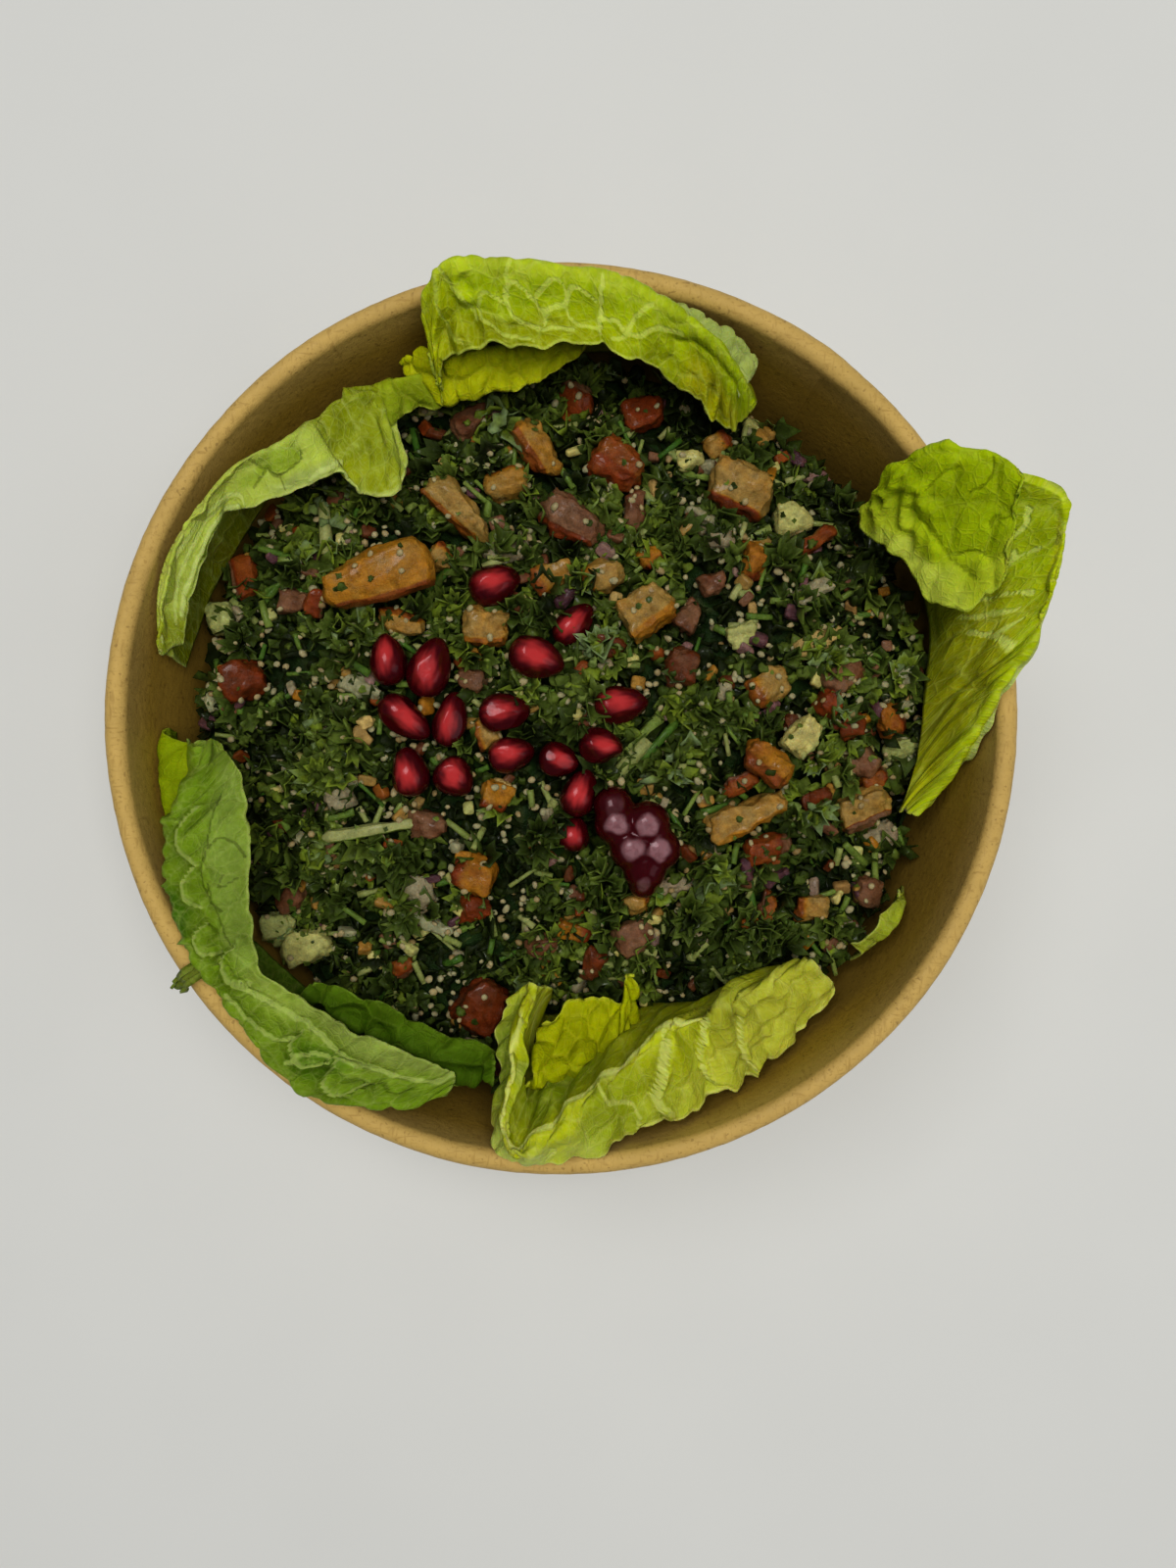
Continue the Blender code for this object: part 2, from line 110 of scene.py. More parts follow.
# A leaf is a ribbon of stations: its foot, crest and lip there, each as angle, radius and height.
LEAVES = {
    "leaf_top": (
        ((59, 66.5, 43), (58.5, 63.2, 50), (60, 58.0, 47)),
        ((61, 67.5, 45), (62.5, 64.4, 56.5), (64, 58.5, 50)),
        ((66, 68.0, 46), (68, 66.2, 62), (70, 59.5, 55)),
        ((71, 68.5, 47), (74.5, 67.4, 65), (76, 59.8, 60)),
        ((79, 67.5, 43), (82, 69.2, 67), (80, 58.5, 62)),
        ((88, 66.5, 42), (90, 70.2, 68), (86, 60.0, 63)),
        ((94, 64.5, 42), (98, 71.2, 69), (95, 59.6, 63)),
        ((99, 62.5, 44), (104, 72.4, 69.5), (103, 61.5, 62)),
        ((105, 62.0, 45), (108, 69.4, 66), (108, 62.0, 58)),
        ((110, 59.0, 45.5), (110, 63.5, 58), (111, 57.0, 50)),
    ),
    "leaf_left": (
        ((173, 68.2, 43), (172, 69.2, 52), (170, 66.6, 49)),
        ((167, 67.4, 43), (163, 70.2, 57), (163, 65.4, 54)),
        ((160, 66.8, 43), (157, 70.0, 59), (157, 65.1, 56)),
        ((152, 66.0, 43), (150, 68.5, 60), (150, 65.2, 57)),
        ((145, 66.0, 43), (142, 67.2, 61), (146, 62.8, 57)),
        ((139, 66.0, 43), (136, 64.0, 62), (140, 57.5, 59)),
        ((133, 65.5, 43), (131, 63.5, 60), (132.2, 54.8, 58)),
        ((127, 65.5, 45), (127, 64.8, 57.5), (131.5, 50.6, 55)),
        ((121, 65.5, 46), (121, 65.4, 55), (126.2, 46.8, 53)),
        ((114, 64.0, 45), (116, 64.6, 51), (119, 53.0, 49.5)),
    ),
    "leaf_front_left": (
        ((182, 65.5, 45), (183, 61.5, 53), (184, 58.5, 52)),
        ((187, 66.5, 45), (187, 60.5, 58), (187, 55.5, 56)),
        ((192, 66.5, 45), (191, 63.0, 60), (192, 53.5, 57)),
        ((198, 67.0, 44), (197, 67.0, 61), (199, 54.5, 58)),
        ((205, 67.8, 43), (205, 69.5, 61.5), (208, 58.0, 58.5)),
        ((212, 68.0, 42), (213, 71.0, 62), (215, 61.5, 59)),
        ((220, 66.5, 42), (221, 71.0, 63), (221, 63.8, 60)),
        ((227.5, 65.5, 42), (228, 71.5, 65), (229, 61.8, 60.5)),
        ((234, 62.6, 42), (235, 72.0, 66), (237, 60.8, 60)),
        ((242, 61.0, 42), (241, 70.5, 64), (244, 60.5, 59)),
        ((250, 61.4, 43), (248, 68.0, 61), (250, 60.8, 58)),
        ((257, 64.0, 44), (254, 64.5, 57), (254, 61.8, 56)),
    ),
    "leaf_front": (
        ((268, 46.5, 44), (265, 45.0, 51), (262, 46.5, 47)),
        ((267, 49.5, 41), (262.5, 51.0, 57), (258.5, 53.5, 50)),
        ((266, 51.5, 39), (263, 58.0, 60), (259, 60.0, 52)),
        ((266.5, 52.5, 38), (262, 64.6, 63), (260, 67.8, 56)),
        ((270, 52.5, 38), (264, 68.9, 66), (262.5, 72.0, 62.5)),
        ((276, 52.0, 38), (269, 65.6, 66), (269.5, 71.8, 62.4)),
        ((283, 52.0, 38), (276, 59.4, 64), (279, 70.4, 57)),
        ((288, 52.8, 40), (288, 53.8, 61), (288, 69.6, 53)),
        ((295, 54.5, 43), (297, 54.4, 58), (295, 68.6, 50)),
        ((303, 55.0, 44), (306, 55.6, 54.5), (304, 68.2, 47)),
        ((316, 59.5, 43), (317, 60.0, 49.5), (316, 67.2, 46)),
    ),
    "leaf_right": (
        ((-15, 62.5, 41), (-15, 64.0, 44), (-14, 65.8, 41)),
        ((-8, 63.0, 43), (-9, 66.8, 48), (-8, 68.6, 44)),
        ((-4, 63.2, 44), (-3, 68.0, 55), (-3, 69.8, 54)),
        ((1, 63.4, 45), (4, 70.4, 62.5), (4, 72.4, 62)),
        ((5, 64.0, 45), (9, 74.8, 67), (9, 77.0, 65.5)),
        ((10, 65.5, 45), (14.5, 77.4, 72.0), (14.3, 78.6, 70.4)),
        ((14, 67.0, 44), (19.4, 79.4, 75.0), (19, 79.8, 75)),
        ((18, 68.0, 43), (23.5, 80.4, 76.2), (23, 80.6, 76)),
        ((22, 68.6, 43), (28, 76.0, 74.0), (27.5, 76.6, 74.6)),
        ((27, 68.6, 43), (31.5, 72.0, 71.5), (31.5, 72.6, 72.4)),
        ((31, 68.4, 43), (33.5, 65.8, 67), (33.5, 66.0, 67.6)),
    ),
    "leaf_lobe": (
        ((180, 68.5, 44), (181, 69.0, 48), (183, 62.5, 50)),
        ((185, 68.8, 43), (185.5, 69.8, 50), (186, 61.5, 52)),
        ((190, 69.0, 43), (190, 70.0, 51.5), (190.5, 62.0, 53)),
        ((195, 69.0, 43), (195.5, 69.8, 50.5), (195.5, 64.5, 52)),
        ((199, 69.0, 43), (200, 69.6, 47.5), (199.5, 68.0, 49)),
    ),
    "leaf_sliver": (
        ((320, 66.5, 41), (321, 65.6, 46), (322, 64.0, 45)),
        ((325, 67.4, 40), (326, 67.2, 48), (326, 64.5, 48)),
        ((331, 67.6, 40), (331, 67.0, 49), (331, 65.0, 49)),
        ((335, 67.6, 40), (334, 66.6, 45), (334, 65.5, 45)),
    ),
}
# Folds and crumpled inner parts of the leaves, laid in the same way.
FRILLS = {
    "frill_top": (
        ((85, 67.0, 50), (85, 65.0, 55.5), (85, 63.0, 56.0)),
        ((89, 67.0, 50), (89, 64.0, 56), (89, 60.0, 55.0)),
        ((94, 66.5, 50), (94, 63.0, 56), (94, 57.4, 53.5)),
        ((100, 66.0, 49), (100, 63.5, 56.5), (100, 56.0, 52.5)),
        ((106, 66.0, 48), (106.5, 64.6, 56.5), (106, 56.8, 51.5)),
        ((111, 66.0, 47), (111.5, 66.5, 54), (111, 58.6, 50.5)),
        ((115, 66.0, 46), (115.5, 67.0, 51), (114, 60.6, 49)),
    ),
    "frill_back": (
        ((77, 69.0, 50), (76.5, 69.6, 56), (76, 65.0, 57)),
        ((73, 69.0, 50), (73, 70.4, 59.4), (72.5, 64.0, 59)),
        ((69, 69.0, 49), (69, 70.2, 59.4), (68.5, 63.0, 58.5)),
        ((65, 68.5, 48), (65, 69.4, 58), (64.5, 62.5, 56.5)),
        ((60.5, 68.0, 46), (60.5, 68.2, 54), (60, 61.5, 53)),
    ),
    "frill_left": (
        ((122, 66.0, 46), (122, 64.0, 52), (122, 58.5, 50)),
        ((117, 66.0, 46), (117, 64.5, 52), (117, 58.0, 50)),
        ((112, 65.5, 46), (112, 64.0, 52), (112, 57.5, 49.5)),
        ((107, 65.0, 46), (107, 63.0, 50), (107, 58.0, 48)),
    ),
    "frill_front_left": (
        ((226, 64.0, 44), (226, 63.5, 52), (226, 61.5, 52)),
        ((232, 63.0, 44), (232, 62.5, 55), (232, 58.2, 53)),
        ((239, 62.5, 43), (239, 62.0, 55.5), (239, 56.4, 53)),
        ((246, 62.0, 43), (246, 62.0, 55), (246.5, 56.8, 52)),
        ((253, 62.5, 43), (253, 62.0, 54), (253, 57.0, 51)),
        ((260, 63.0, 44), (260, 62.5, 51), (260, 57.6, 49)),
    ),
    "frill_front": (
        ((263, 61.5, 55), (264, 58.5, 57), (266, 51.5, 50.5)),
        ((268, 62.0, 54), (268.5, 58.5, 56), (269.5, 49.3, 51.5)),
        ((273, 61.5, 52), (273.5, 57.5, 54.5), (274, 48.4, 51)),
        ((278, 60.0, 50), (279, 56.0, 53), (279.5, 48.2, 51)),
        ((283, 58.0, 47), (283, 53.5, 51), (283, 46.5, 51.5)),
        ((287, 56.0, 42), (286.5, 51.0, 48), (286, 43.8, 52)),
    ),
    "flap_right": (
        ((27, 76.0, 74.5), (26.8, 76.8, 77.0), (20.5, 73.8, 71.5)),
        ((28.5, 76.0, 73.5), (28.2, 77.0, 77.0), (16.2, 72.0, 67.5)),
        ((30.5, 75.0, 73.0), (30.2, 76.0, 76.4), (14.6, 68.2, 64.0)),
        ((32.5, 73.2, 72.0), (32.2, 74.0, 75.0), (16.2, 63.6, 61.5)),
        ((34, 70.5, 71), (34.3, 71.2, 73.8), (21, 61.6, 61.0)),
        ((34.8, 67.8, 68), (35.6, 68.4, 71.4), (27.5, 59.5, 59.5)),
        ((35.5, 65.5, 66), (36.4, 66.0, 69.0), (32, 58.6, 58.0)),
        ((36, 64.0, 64), (37, 64.6, 66.2), (35.5, 60.2, 58.5)),
    ),
    "frill_rim": (
        ((213.2, 71.0, 59.5), (213.4, 73.5, 61.6), (214.4, 78.0, 58.6)),
        ((214.6, 70.5, 60), (214.8, 73.5, 62.0), (215.2, 77.6, 58.8)),
        ((216.2, 71.0, 60), (216.0, 73.5, 61.8), (216.2, 75.6, 60.6)),
    ),
}
# How each leaf is finished: its colours at foot, crest and lip and of its veins; then how much
# the veins show and, in mm, its cells, blisters, ruffled margin, frilled margin and pleats, and
# the seed of its random numbers.
LEAF_LOOKS = {
    "leaf_top": (
        ((0.28, 0.27, 0.002), (0.34, 0.44, 0.003), (0.32, 0.38, 0.001), (0.52, 0.60, 0.12)),
        (0.34, 5.2, 0.34, 0.5, 0.8, 0.2, 3),
    ),
    "leaf_left": (
        ((0.18, 0.20, 0.002), (0.40, 0.48, 0.075), (0.40, 0.48, 0.070), (0.52, 0.60, 0.20)),
        (0.30, 6.4, 0.35, 0.5, 0.4, 0.5, 8),
    ),
    # Its dark foot is partly the leaf's own deep green and partly painted shade on its lower inner side.
    "leaf_front_left": (
        ((0.09, 0.18, 0.003), (0.155, 0.245, 0.012), (0.20, 0.28, 0.030), (0.34, 0.42, 0.11)),
        (0.34, 5.2, 0.55, 0.25, 0.5, 0.2, 13),
    ),
    "leaf_front": (
        ((0.31, 0.33, 0.0005), (0.40, 0.44, 0.005), (0.42, 0.47, 0.030), (0.56, 0.60, 0.16)),
        (0.30, 6.0, 0.45, 0.7, 1.2, 1.5, 21),
    ),
    "leaf_right": (
        ((0.37, 0.41, 0.0005), (0.41, 0.50, 0.001), (0.42, 0.50, 0.015), (0.62, 0.70, 0.16)),
        (0.34, 7.0, 0.50, 0.4, 0.5, 0.1, 34),
    ),
    "leaf_lobe": (
        ((0.13, 0.18, 0.002), (0.19, 0.25, 0.003), (0.22, 0.28, 0.004), (0.28, 0.34, 0.03)),
        (0.1, 6.0, 0.35, 0.2, 0.4, 0.2, 55),
    ),
    "leaf_sliver": (
        ((0.20, 0.23, 0.006), (0.26, 0.30, 0.02), (0.28, 0.32, 0.03), (0.40, 0.44, 0.12)),
        (0.3, 5.0, 0.4, 0.5, 0.7, 0.3, 89),
    ),
    "frill_top": (
        ((0.30, 0.31, 0.001), (0.34, 0.36, 0.002), (0.36, 0.38, 0.004), (0.46, 0.50, 0.05)),
        (0.25, 3.6, 1.0, 0.7, 0.9, 0.5, 144),
    ),
    "frill_back": (
        ((0.26, 0.31, 0.04), (0.33, 0.39, 0.10), (0.34, 0.40, 0.12), (0.42, 0.50, 0.20)),
        (0.3, 3.2, 0.45, 0.6, 1.0, 0.8, 611),
    ),
    "frill_left": (
        ((0.20, 0.22, 0.002), (0.22, 0.27, 0.004), (0.22, 0.28, 0.008), (0.36, 0.42, 0.06)),
        (0.25, 4.4, 0.8, 1.0, 1.2, 0.9, 155),
    ),
    # Near-black greens: partly the leaf's own deep green, partly painted shade on the front left leaf's shaded inner
    # side.
    "frill_front_left": (
        ((0.035, 0.07, 0.003), (0.06, 0.115, 0.005), (0.09, 0.155, 0.008), (0.15, 0.22, 0.03)),
        (0.15, 7.5, 1.7, 0.4, 0.7, 0.3, 233),
    ),
    "frill_front": (
        ((0.23, 0.25, 0.001), (0.30, 0.32, 0.001), (0.35, 0.37, 0.002), (0.46, 0.49, 0.05)),
        (0.2, 3.8, 1.3, 0.8, 1.0, 1.0, 377),
    ),
    "flap_right": (
        ((0.31, 0.41, 0.003), (0.33, 0.43, 0.003), (0.36, 0.43, 0.020), (0.42, 0.50, 0.06)),
        (0.25, 6.5, 0.45, 0.5, 0.9, 0.3, 610),
    ),
    "frill_rim": (
        ((0.10, 0.13, 0.01), (0.15, 0.18, 0.02), (0.09, 0.13, 0.012), (0.2, 0.25, 0.05)),
        (0.2, 3.0, 0.4, 0.3, 0.4, 0.3, 700),
    ),
}
# Parts of a leaf with a colour of their own: u, v, their widths, the colour and its strength.
PATCHES = {
    "leaf_top": (
        (0.90, 0.80, 0.12, 0.34, (0.42, 0.46, 0.002), 0.8),
        (0.72, 0.92, 0.20, 0.12, (0.28, 0.30, 0.002), 0.7),
        (0.12, 0.86, 0.16, 0.22, (0.34, 0.33, 0.002), 0.95),
        (0.52, 0.56, 0.40, 0.06, (0.44, 0.52, 0.03), 0.7),
    ),
    "leaf_left": (
        (0.02, 0.75, 0.06, 0.60, (0.27, 0.31, 0.010), 0.9),
        (0.25, 0.98, 0.17, 0.055, (0.15, 0.21, 0.002), 1.0),
        (0.47, 0.76, 0.05, 0.08, (0.26, 0.36, 0.020), 0.6),
        (0.55, 0.68, 0.07, 0.10, (0.24, 0.35, 0.006), 0.7),
        (0.60, 0.93, 0.12, 0.08, (0.36, 0.43, 0.13), 0.7),
        (0.86, 0.45, 0.16, 0.70, (0.22, 0.255, 0.0005), 0.95),
        (0.84, 0.92, 0.12, 0.10, (0.33, 0.37, 0.004), 0.8),
    ),
    "leaf_front_left": (
        (0.80, 0.97, 0.24, 0.12, (0.23, 0.29, 0.060), 0.95),
        (0.55, 0.88, 0.10, 0.10, (0.24, 0.31, 0.050), 0.7),
        (0.32, 0.86, 0.22, 0.14, (0.19, 0.27, 0.045), 0.8),
        (0.38, 0.52, 0.05, 0.10, (0.05, 0.13, 0.003), 0.9),
        (0.71, 0.70, 0.06, 0.12, (0.07, 0.16, 0.003), 0.7),
        (0.03, 0.85, 0.06, 0.40, (0.22, 0.31, 0.040), 0.7),
    ),
    "leaf_front": (
        (0.40, 0.85, 0.14, 0.30, (0.42, 0.48, 0.100), 0.9),
        (0.18, 0.80, 0.12, 0.34, (0.22, 0.29, 0.025), 0.9),
        (0.60, 0.75, 0.05, 0.24, (0.26, 0.32, 0.004), 0.8),
        (0.90, 0.75, 0.16, 0.50, (0.40, 0.40, 0.040), 0.8),
        (0.45, 0.32, 0.14, 0.12, (0.19, 0.26, 0.002), 0.8),
    ),
    "leaf_right": (
        (0.30, 0.20, 0.30, 0.24, (0.40, 0.41, 0.0005), 0.9),
        (0.30, 0.95, 0.24, 0.20, (0.40, 0.47, 0.16), 0.9),
    ),
    "flap_right": (
        (0.20, 0.92, 0.16, 0.10, (0.40, 0.46, 0.030), 0.6),
        (0.55, 0.96, 0.24, 0.08, (0.44, 0.50, 0.080), 0.8),
    ),
}
# Where a leaf is crumpled: u, v, their widths and the height in mm.
CRUMPLES = {
    "leaf_top": ((0.86, 0.80, 0.16, 0.30, 1.2), (0.12, 0.88, 0.18, 0.22, 1.0)),
    "leaf_left": ((0.88, 0.45, 0.16, 0.50, 1.1),),
    "leaf_front_left": ((0.10, 0.70, 0.08, 0.40, 0.7),),
    "leaf_front": ((0.45, 0.18, 0.35, 0.22, 1.3), (0.90, 0.70, 0.18, 0.50, 1.0)),
    "leaf_right": ((0.35, 0.20, 0.22, 0.16, 0.8),),
    "frill_front": ((0.50, 0.60, 0.60, 0.60, 0.8),),
    "flap_right": ((0.75, 0.75, 0.22, 0.30, 1.3),),
}
# Single veins and grooves: width and rise in mm, how pale (or, below nought, how dark: painted shade
# in the groove) and the points it runs through, each as u and v.
VEINS = {
    "leaf_top": (
        (0.8, 0.30, 0.9, ((0.48, 0.55), (0.49, 0.68), (0.50, 0.79), (0.51, 0.93))),
        (0.5, 0.25, 0.8, ((0.50, 0.79), (0.46, 0.76), (0.435, 0.82), (0.39, 0.80), (0.36, 0.71), (0.29, 0.65))),
        (0.4, 0.20, 0.7, ((0.435, 0.81), (0.42, 0.73), (0.40, 0.66), (0.375, 0.58))),
        (0.4, 0.20, 0.7, ((0.435, 0.82), (0.45, 0.87), (0.475, 0.90))),
        (0.5, 0.25, 0.8, ((0.50, 0.69), (0.54, 0.635), (0.57, 0.73), (0.605, 0.775), (0.62, 0.87))),
        (0.4, 0.20, 0.7, ((0.57, 0.73), (0.57, 0.83), (0.55, 0.88), (0.515, 0.88))),
        (0.4, 0.20, 0.7, ((0.615, 0.80), (0.62, 0.72), (0.60, 0.66), (0.575, 0.61), (0.56, 0.66), (0.565, 0.72))),
        (0.5, 0.25, 0.8, ((0.62, 0.73), (0.645, 0.64), (0.67, 0.69), (0.67, 0.82), (0.62, 0.89), (0.57, 0.90))),
        (0.4, 0.20, 0.6, ((0.66, 0.65), (0.655, 0.60), (0.64, 0.53))),
        (0.4, 0.25, 0.7, ((0.675, 0.74), (0.715, 0.69), (0.74, 0.80), (0.715, 0.91), (0.655, 0.96))),
        (0.5, 0.30, 0.6, ((0.80, 0.53), (0.785, 0.63), (0.755, 0.76), (0.75, 0.84))),
        (0.5, 0.30, 0.5, ((0.82, 0.56), (0.85, 0.72), (0.845, 0.84), (0.80, 0.95))),
        (0.5, -0.40, -0.35, ((0.30, 0.72), (0.25, 0.66), (0.16, 0.62), (0.10, 0.60))),
    ),
    "leaf_left": (
        (0.4, -0.25, -0.45, ((0.47, 0.84), (0.51, 0.72), (0.535, 0.80), (0.60, 0.745), (0.61, 0.69))),
        (0.35, -0.20, -0.4, ((0.535, 0.80), (0.54, 0.87), (0.54, 0.95))),
        (0.35, -0.20, -0.3, ((0.51, 0.72), (0.49, 0.66), (0.48, 0.60))),
        (0.5, 0.30, 0.6, ((0.02, 0.60), (0.15, 0.64), (0.30, 0.68), (0.42, 0.80), (0.44, 0.95))),
        (0.4, 0.20, 0.6, ((0.05, 0.82), (0.20, 0.76), (0.40, 0.80))),
        (0.5, 0.45, 0.9, ((0.08, 0.90), (0.20, 0.91), (0.35, 0.92), (0.42, 0.96))),
        (0.5, 0.40, 0.9, ((0.60, 0.95), (0.66, 0.93), (0.70, 0.87), (0.75, 0.83))),
        (0.5, -0.50, -0.3, ((0.70, 0.60), (0.72, 0.75), (0.73, 0.95))),
    ),
    "leaf_front_left": (
        (0.3, -0.20, -0.45, ((0.20, 0.80), (0.24, 0.77), (0.30, 0.74), (0.33, 0.70), (0.38, 0.74), (0.40, 0.80))),
        (0.3, -0.20, -0.45, ((0.30, 0.74), (0.285, 0.83), (0.30, 0.92), (0.32, 0.97))),
        (0.3, -0.20, -0.4, ((0.34, 0.84), (0.36, 0.80), (0.35, 0.94))),
        (0.3, -0.20, -0.4, ((0.35, 0.73), (0.42, 0.78), (0.46, 0.80))),
        (0.3, -0.20, -0.4, ((0.80, 0.62), (0.84, 0.72), (0.87, 0.66), (0.90, 0.72))),
        (0.8, 0.60, 0.9, ((0.53, 0.72), (0.58, 0.82), (0.66, 0.86), (0.76, 0.80), (0.86, 0.80), (0.96, 0.82))),
        (0.5, 0.40, 0.8, ((0.53, 0.60), (0.58, 0.62), (0.64, 0.66), (0.66, 0.74))),
        (0.5, 0.40, 0.8, ((0.68, 0.60), (0.69, 0.68), (0.72, 0.76), (0.78, 0.78))),
    ),
    "leaf_front": (
        (0.55, 0.60, 1.0, ((0.30, 0.50), (0.40, 0.485), (0.50, 0.47), (0.60, 0.47), (0.70, 0.47), (0.79, 0.50))),
        (0.5, 0.50, 0.9, ((0.08, 0.50), (0.20, 0.49), (0.30, 0.50))),
        (0.5, 0.30, 0.6, ((0.60, 0.50), (0.605, 0.65), (0.63, 0.80), (0.62, 0.97))),
        (0.5, 0.40, 0.6, ((0.70, 0.50), (0.68, 0.66), (0.66, 0.80), (0.67, 0.95))),
        (0.4, 0.20, 0.6, ((0.45, 0.60), (0.50, 0.75), (0.48, 0.90))),
    ),
    "leaf_right": (
        (0.4, 0.20, 0.9, ((0.70, 0.20), (0.66, 0.33), (0.63, 0.38), (0.60, 0.34), (0.58, 0.24))),
        (0.5, 0.20, 0.9, ((0.66, 0.33), (0.68, 0.42), (0.72, 0.44))),
        (0.4, 0.20, 0.8, ((0.62, 0.37), (0.60, 0.45))),
        (0.4, 0.20, 0.9, ((0.60, 0.20), (0.56, 0.30), (0.53, 0.38), (0.51, 0.43))),
        (0.5, 0.20, 0.8, ((0.56, 0.20), (0.53, 0.26), (0.49, 0.38))),
        (0.6, 0.25, 0.9, ((0.50, 0.22), (0.46, 0.30), (0.41, 0.38))),
        (0.5, 0.20, 0.9, ((0.46, 0.30), (0.46, 0.40))),
    ),
    "flap_right": (
        (0.35, -0.20, -0.4, ((0.42, 0.64), (0.36, 0.62), (0.33, 0.58), (0.34, 0.53))),
        (0.35, -0.20, -0.4, ((0.27, 0.73), (0.26, 0.70), (0.15, 0.71))),
        (0.35, -0.20, -0.4, ((0.40, 0.82), (0.34, 0.80), (0.26, 0.82))),
        (0.5, -0.35, -0.3, ((0.70, 0.76), (0.52, 0.80), (0.38, 0.86), (0.28, 0.90))),
        (0.35, -0.20, -0.3, ((0.62, 0.66), (0.56, 0.60), (0.50, 0.58))),
    ),
}
# Edges where a leaf folds over itself: the step and its reach in mm, then points as u and v.
# The higher side is on the left as one follows the points with v pointing up.
FOLDS = {
    "leaf_front_left": (
        (1.0, 3.0, ((0.22, 0.66), (0.25, 0.60), (0.285, 0.585), (0.32, 0.68))),
        (0.9, 2.5, ((0.32, 0.68), (0.34, 0.61), (0.365, 0.60), (0.385, 0.68))),
        (1.1, 3.0, ((0.41, 0.70), (0.425, 0.60), (0.455, 0.60), (0.465, 0.72))),
        (1.1, 3.0, ((0.465, 0.84), (0.475, 0.70), (0.50, 0.66), (0.53, 0.70), (0.54, 0.82))),
        (1.0, 3.0, ((0.66, 0.80), (0.665, 0.68), (0.70, 0.64), (0.73, 0.74))),
        (0.8, 2.5, ((0.74, 0.78), (0.75, 0.62), (0.79, 0.58), (0.82, 0.70))),
    ),
    "leaf_front": (
        (1.2, 3.0, ((0.66, 0.95), (0.655, 0.80), (0.68, 0.66), (0.70, 0.55))),
        (1.0, 3.0, ((0.76, 0.92), (0.75, 0.78), (0.77, 0.62), (0.79, 0.52))),
        (1.0, 3.0, ((0.84, 0.95), (0.83, 0.78), (0.85, 0.60))),
    ),
}

# ---------------------------------------------------------------- seeds and cut vegetables

SEED_TAPER = 0.22
# x, y, length, width, turn, height over the heap.
SEEDS = (
    (-11.7, 23.8, 9.4, 6.8, 20, 2.4),
    (2.0, 16.9, 8.8, 5.6, 48, 1.0),
    (-4.4, 10.9, 10.0, 7.0, -20, 2.2),
    (-29.8, 10.6, 9.2, 6.2, 97, 1.8),
    (-22.5, 9.2, 10.8, 7.0, 72, 2.4),
    (-27.0, 0.6, 10.6, 6.0, -38, 1.9),
    (-19.2, 0.4, 9.8, 5.8, 78, 2.2),
    (-26.4, -8.6, 8.8, 6.6, 100, 2.1),
    (-18.6, -9.6, 7.4, 6.6, -45, 2.3),
    (-9.9, 1.5, 9.0, 6.6, 8, 2.3),
    (-8.8, -5.6, 8.2, 6.0, 12, 2.1),
    (-0.6, -6.6, 7.2, 5.8, -12, 1.6),
    (10.1, 3.0, 9.6, 6.4, 8, 2.4),
    (6.6, -4.2, 7.8, 6.0, -8, 2.0),
    (3.0, -12.2, 8.6, 6.0, 68, 2.1),
    (2.0, -19.4, 6.2, 5.6, 80, 1.2),
)
CLUMP_PLACE = (12.6, -20.4)
CLUMP_LIFT = 2.4
CLUMP_TURN = -62
# The seeds still joined in one clump: along, across, up, radius, and how much painted reflection lies on its top.
CLUMP_LOBES = (
    (-3.9, 6.0, -0.6, 3.5, 0.2),
    (-3.3, 3.0, 0.3, 3.9, 1.0),
    (1.9, 2.8, 0.3, 4.1, 1.0),
    (-0.6, -1.3, 0.4, 4.0, 1.0),
    (3.9, -1.4, 0.2, 3.8, 1.0),
    (1.5, -5.0, -0.3, 3.8, 0.0),
    (1.3, -7.3, -0.9, 2.7, 0.4),
)
# The larger cut pieces: x, y, (length, width, height), turn, tilt, lift, taper, finish.
CHUNKS = {
    "tomato_wedge": (-31.0, 24.6, (18.0, 12.0, 6.5), 200, -8, 3.4, 0.35, "tomato_flesh"),
    "tomato_skin_piece": (9.4, 45.2, (10.5, 8.5, 5.0), -35, 10, 2.2, 0.25, "tomato_skin"),
    "tomato_strip": (-4.6, 48.2, (12.0, 6.2, 5.0), -58, -8, 1.6, 0.20, "tomato_skin"),
    "tomato_block": (31.0, 41.0, (12.5, 10.0, 7.5), -25, 10, 2.2, 0.15, "tomato_flesh"),
    "tomato_dice_a": (1.4, 35.2, (12.0, 7.8, 5.5), -30, 5, 1.8, 0.20, "tomato_flesh"),
    "tomato_dice_b": (-12.9, 16.5, (8.0, 7.0, 6.0), -4, 6, 1.6, 0.12, "tomato_flesh"),
    "tomato_dice_c": (14.4, 19.0, (9.5, 9.0, 5.0), 35, -6, 1.6, 0.20, "tomato_flesh"),
    "tomato_dice_d": (35.2, -7.2, (8.4, 5.6, 4.6), -38, 8, 3.6, 0.05, "tomato_skin"),
    "tomato_slice": (32.2, -16.0, (14.0, 6.6, 4.5), 25, -6, 2.2, 0.35, "tomato_flesh"),
    "tomato_dice_e": (53.4, -15.0, (9.0, 8.0, 6.0), 20, 5, 2.2, 0.20, "tomato_flesh"),
    "tomato_dice_f": (-14.6, -50.2, (10.0, 9.4, 6.5), 60, 8, 2.0, 0.20, "tomato_skin"),
    "tomato_long": (-17.6, 36.6, (14.0, 6.5, 5.5), -48, 8, 2.4, 0.30, "tomato_flesh"),
    "cucumber_dice": (41.6, -2.2, (7.4, 5.6, 4.4), 50, 10, 3.4, 0.20, "cucumber"),
    "parsley_stem": (-32.6, -18.6, (17.0, 3.0, 2.6), 9, 3, 1.8, 0.30, "stem"),
}


# ---------------------------------------------------------------- settings


def length(name, description, millimetres):
    return FloatProperty(name=name, description=description, default=millimetres * MM, unit="LENGTH")


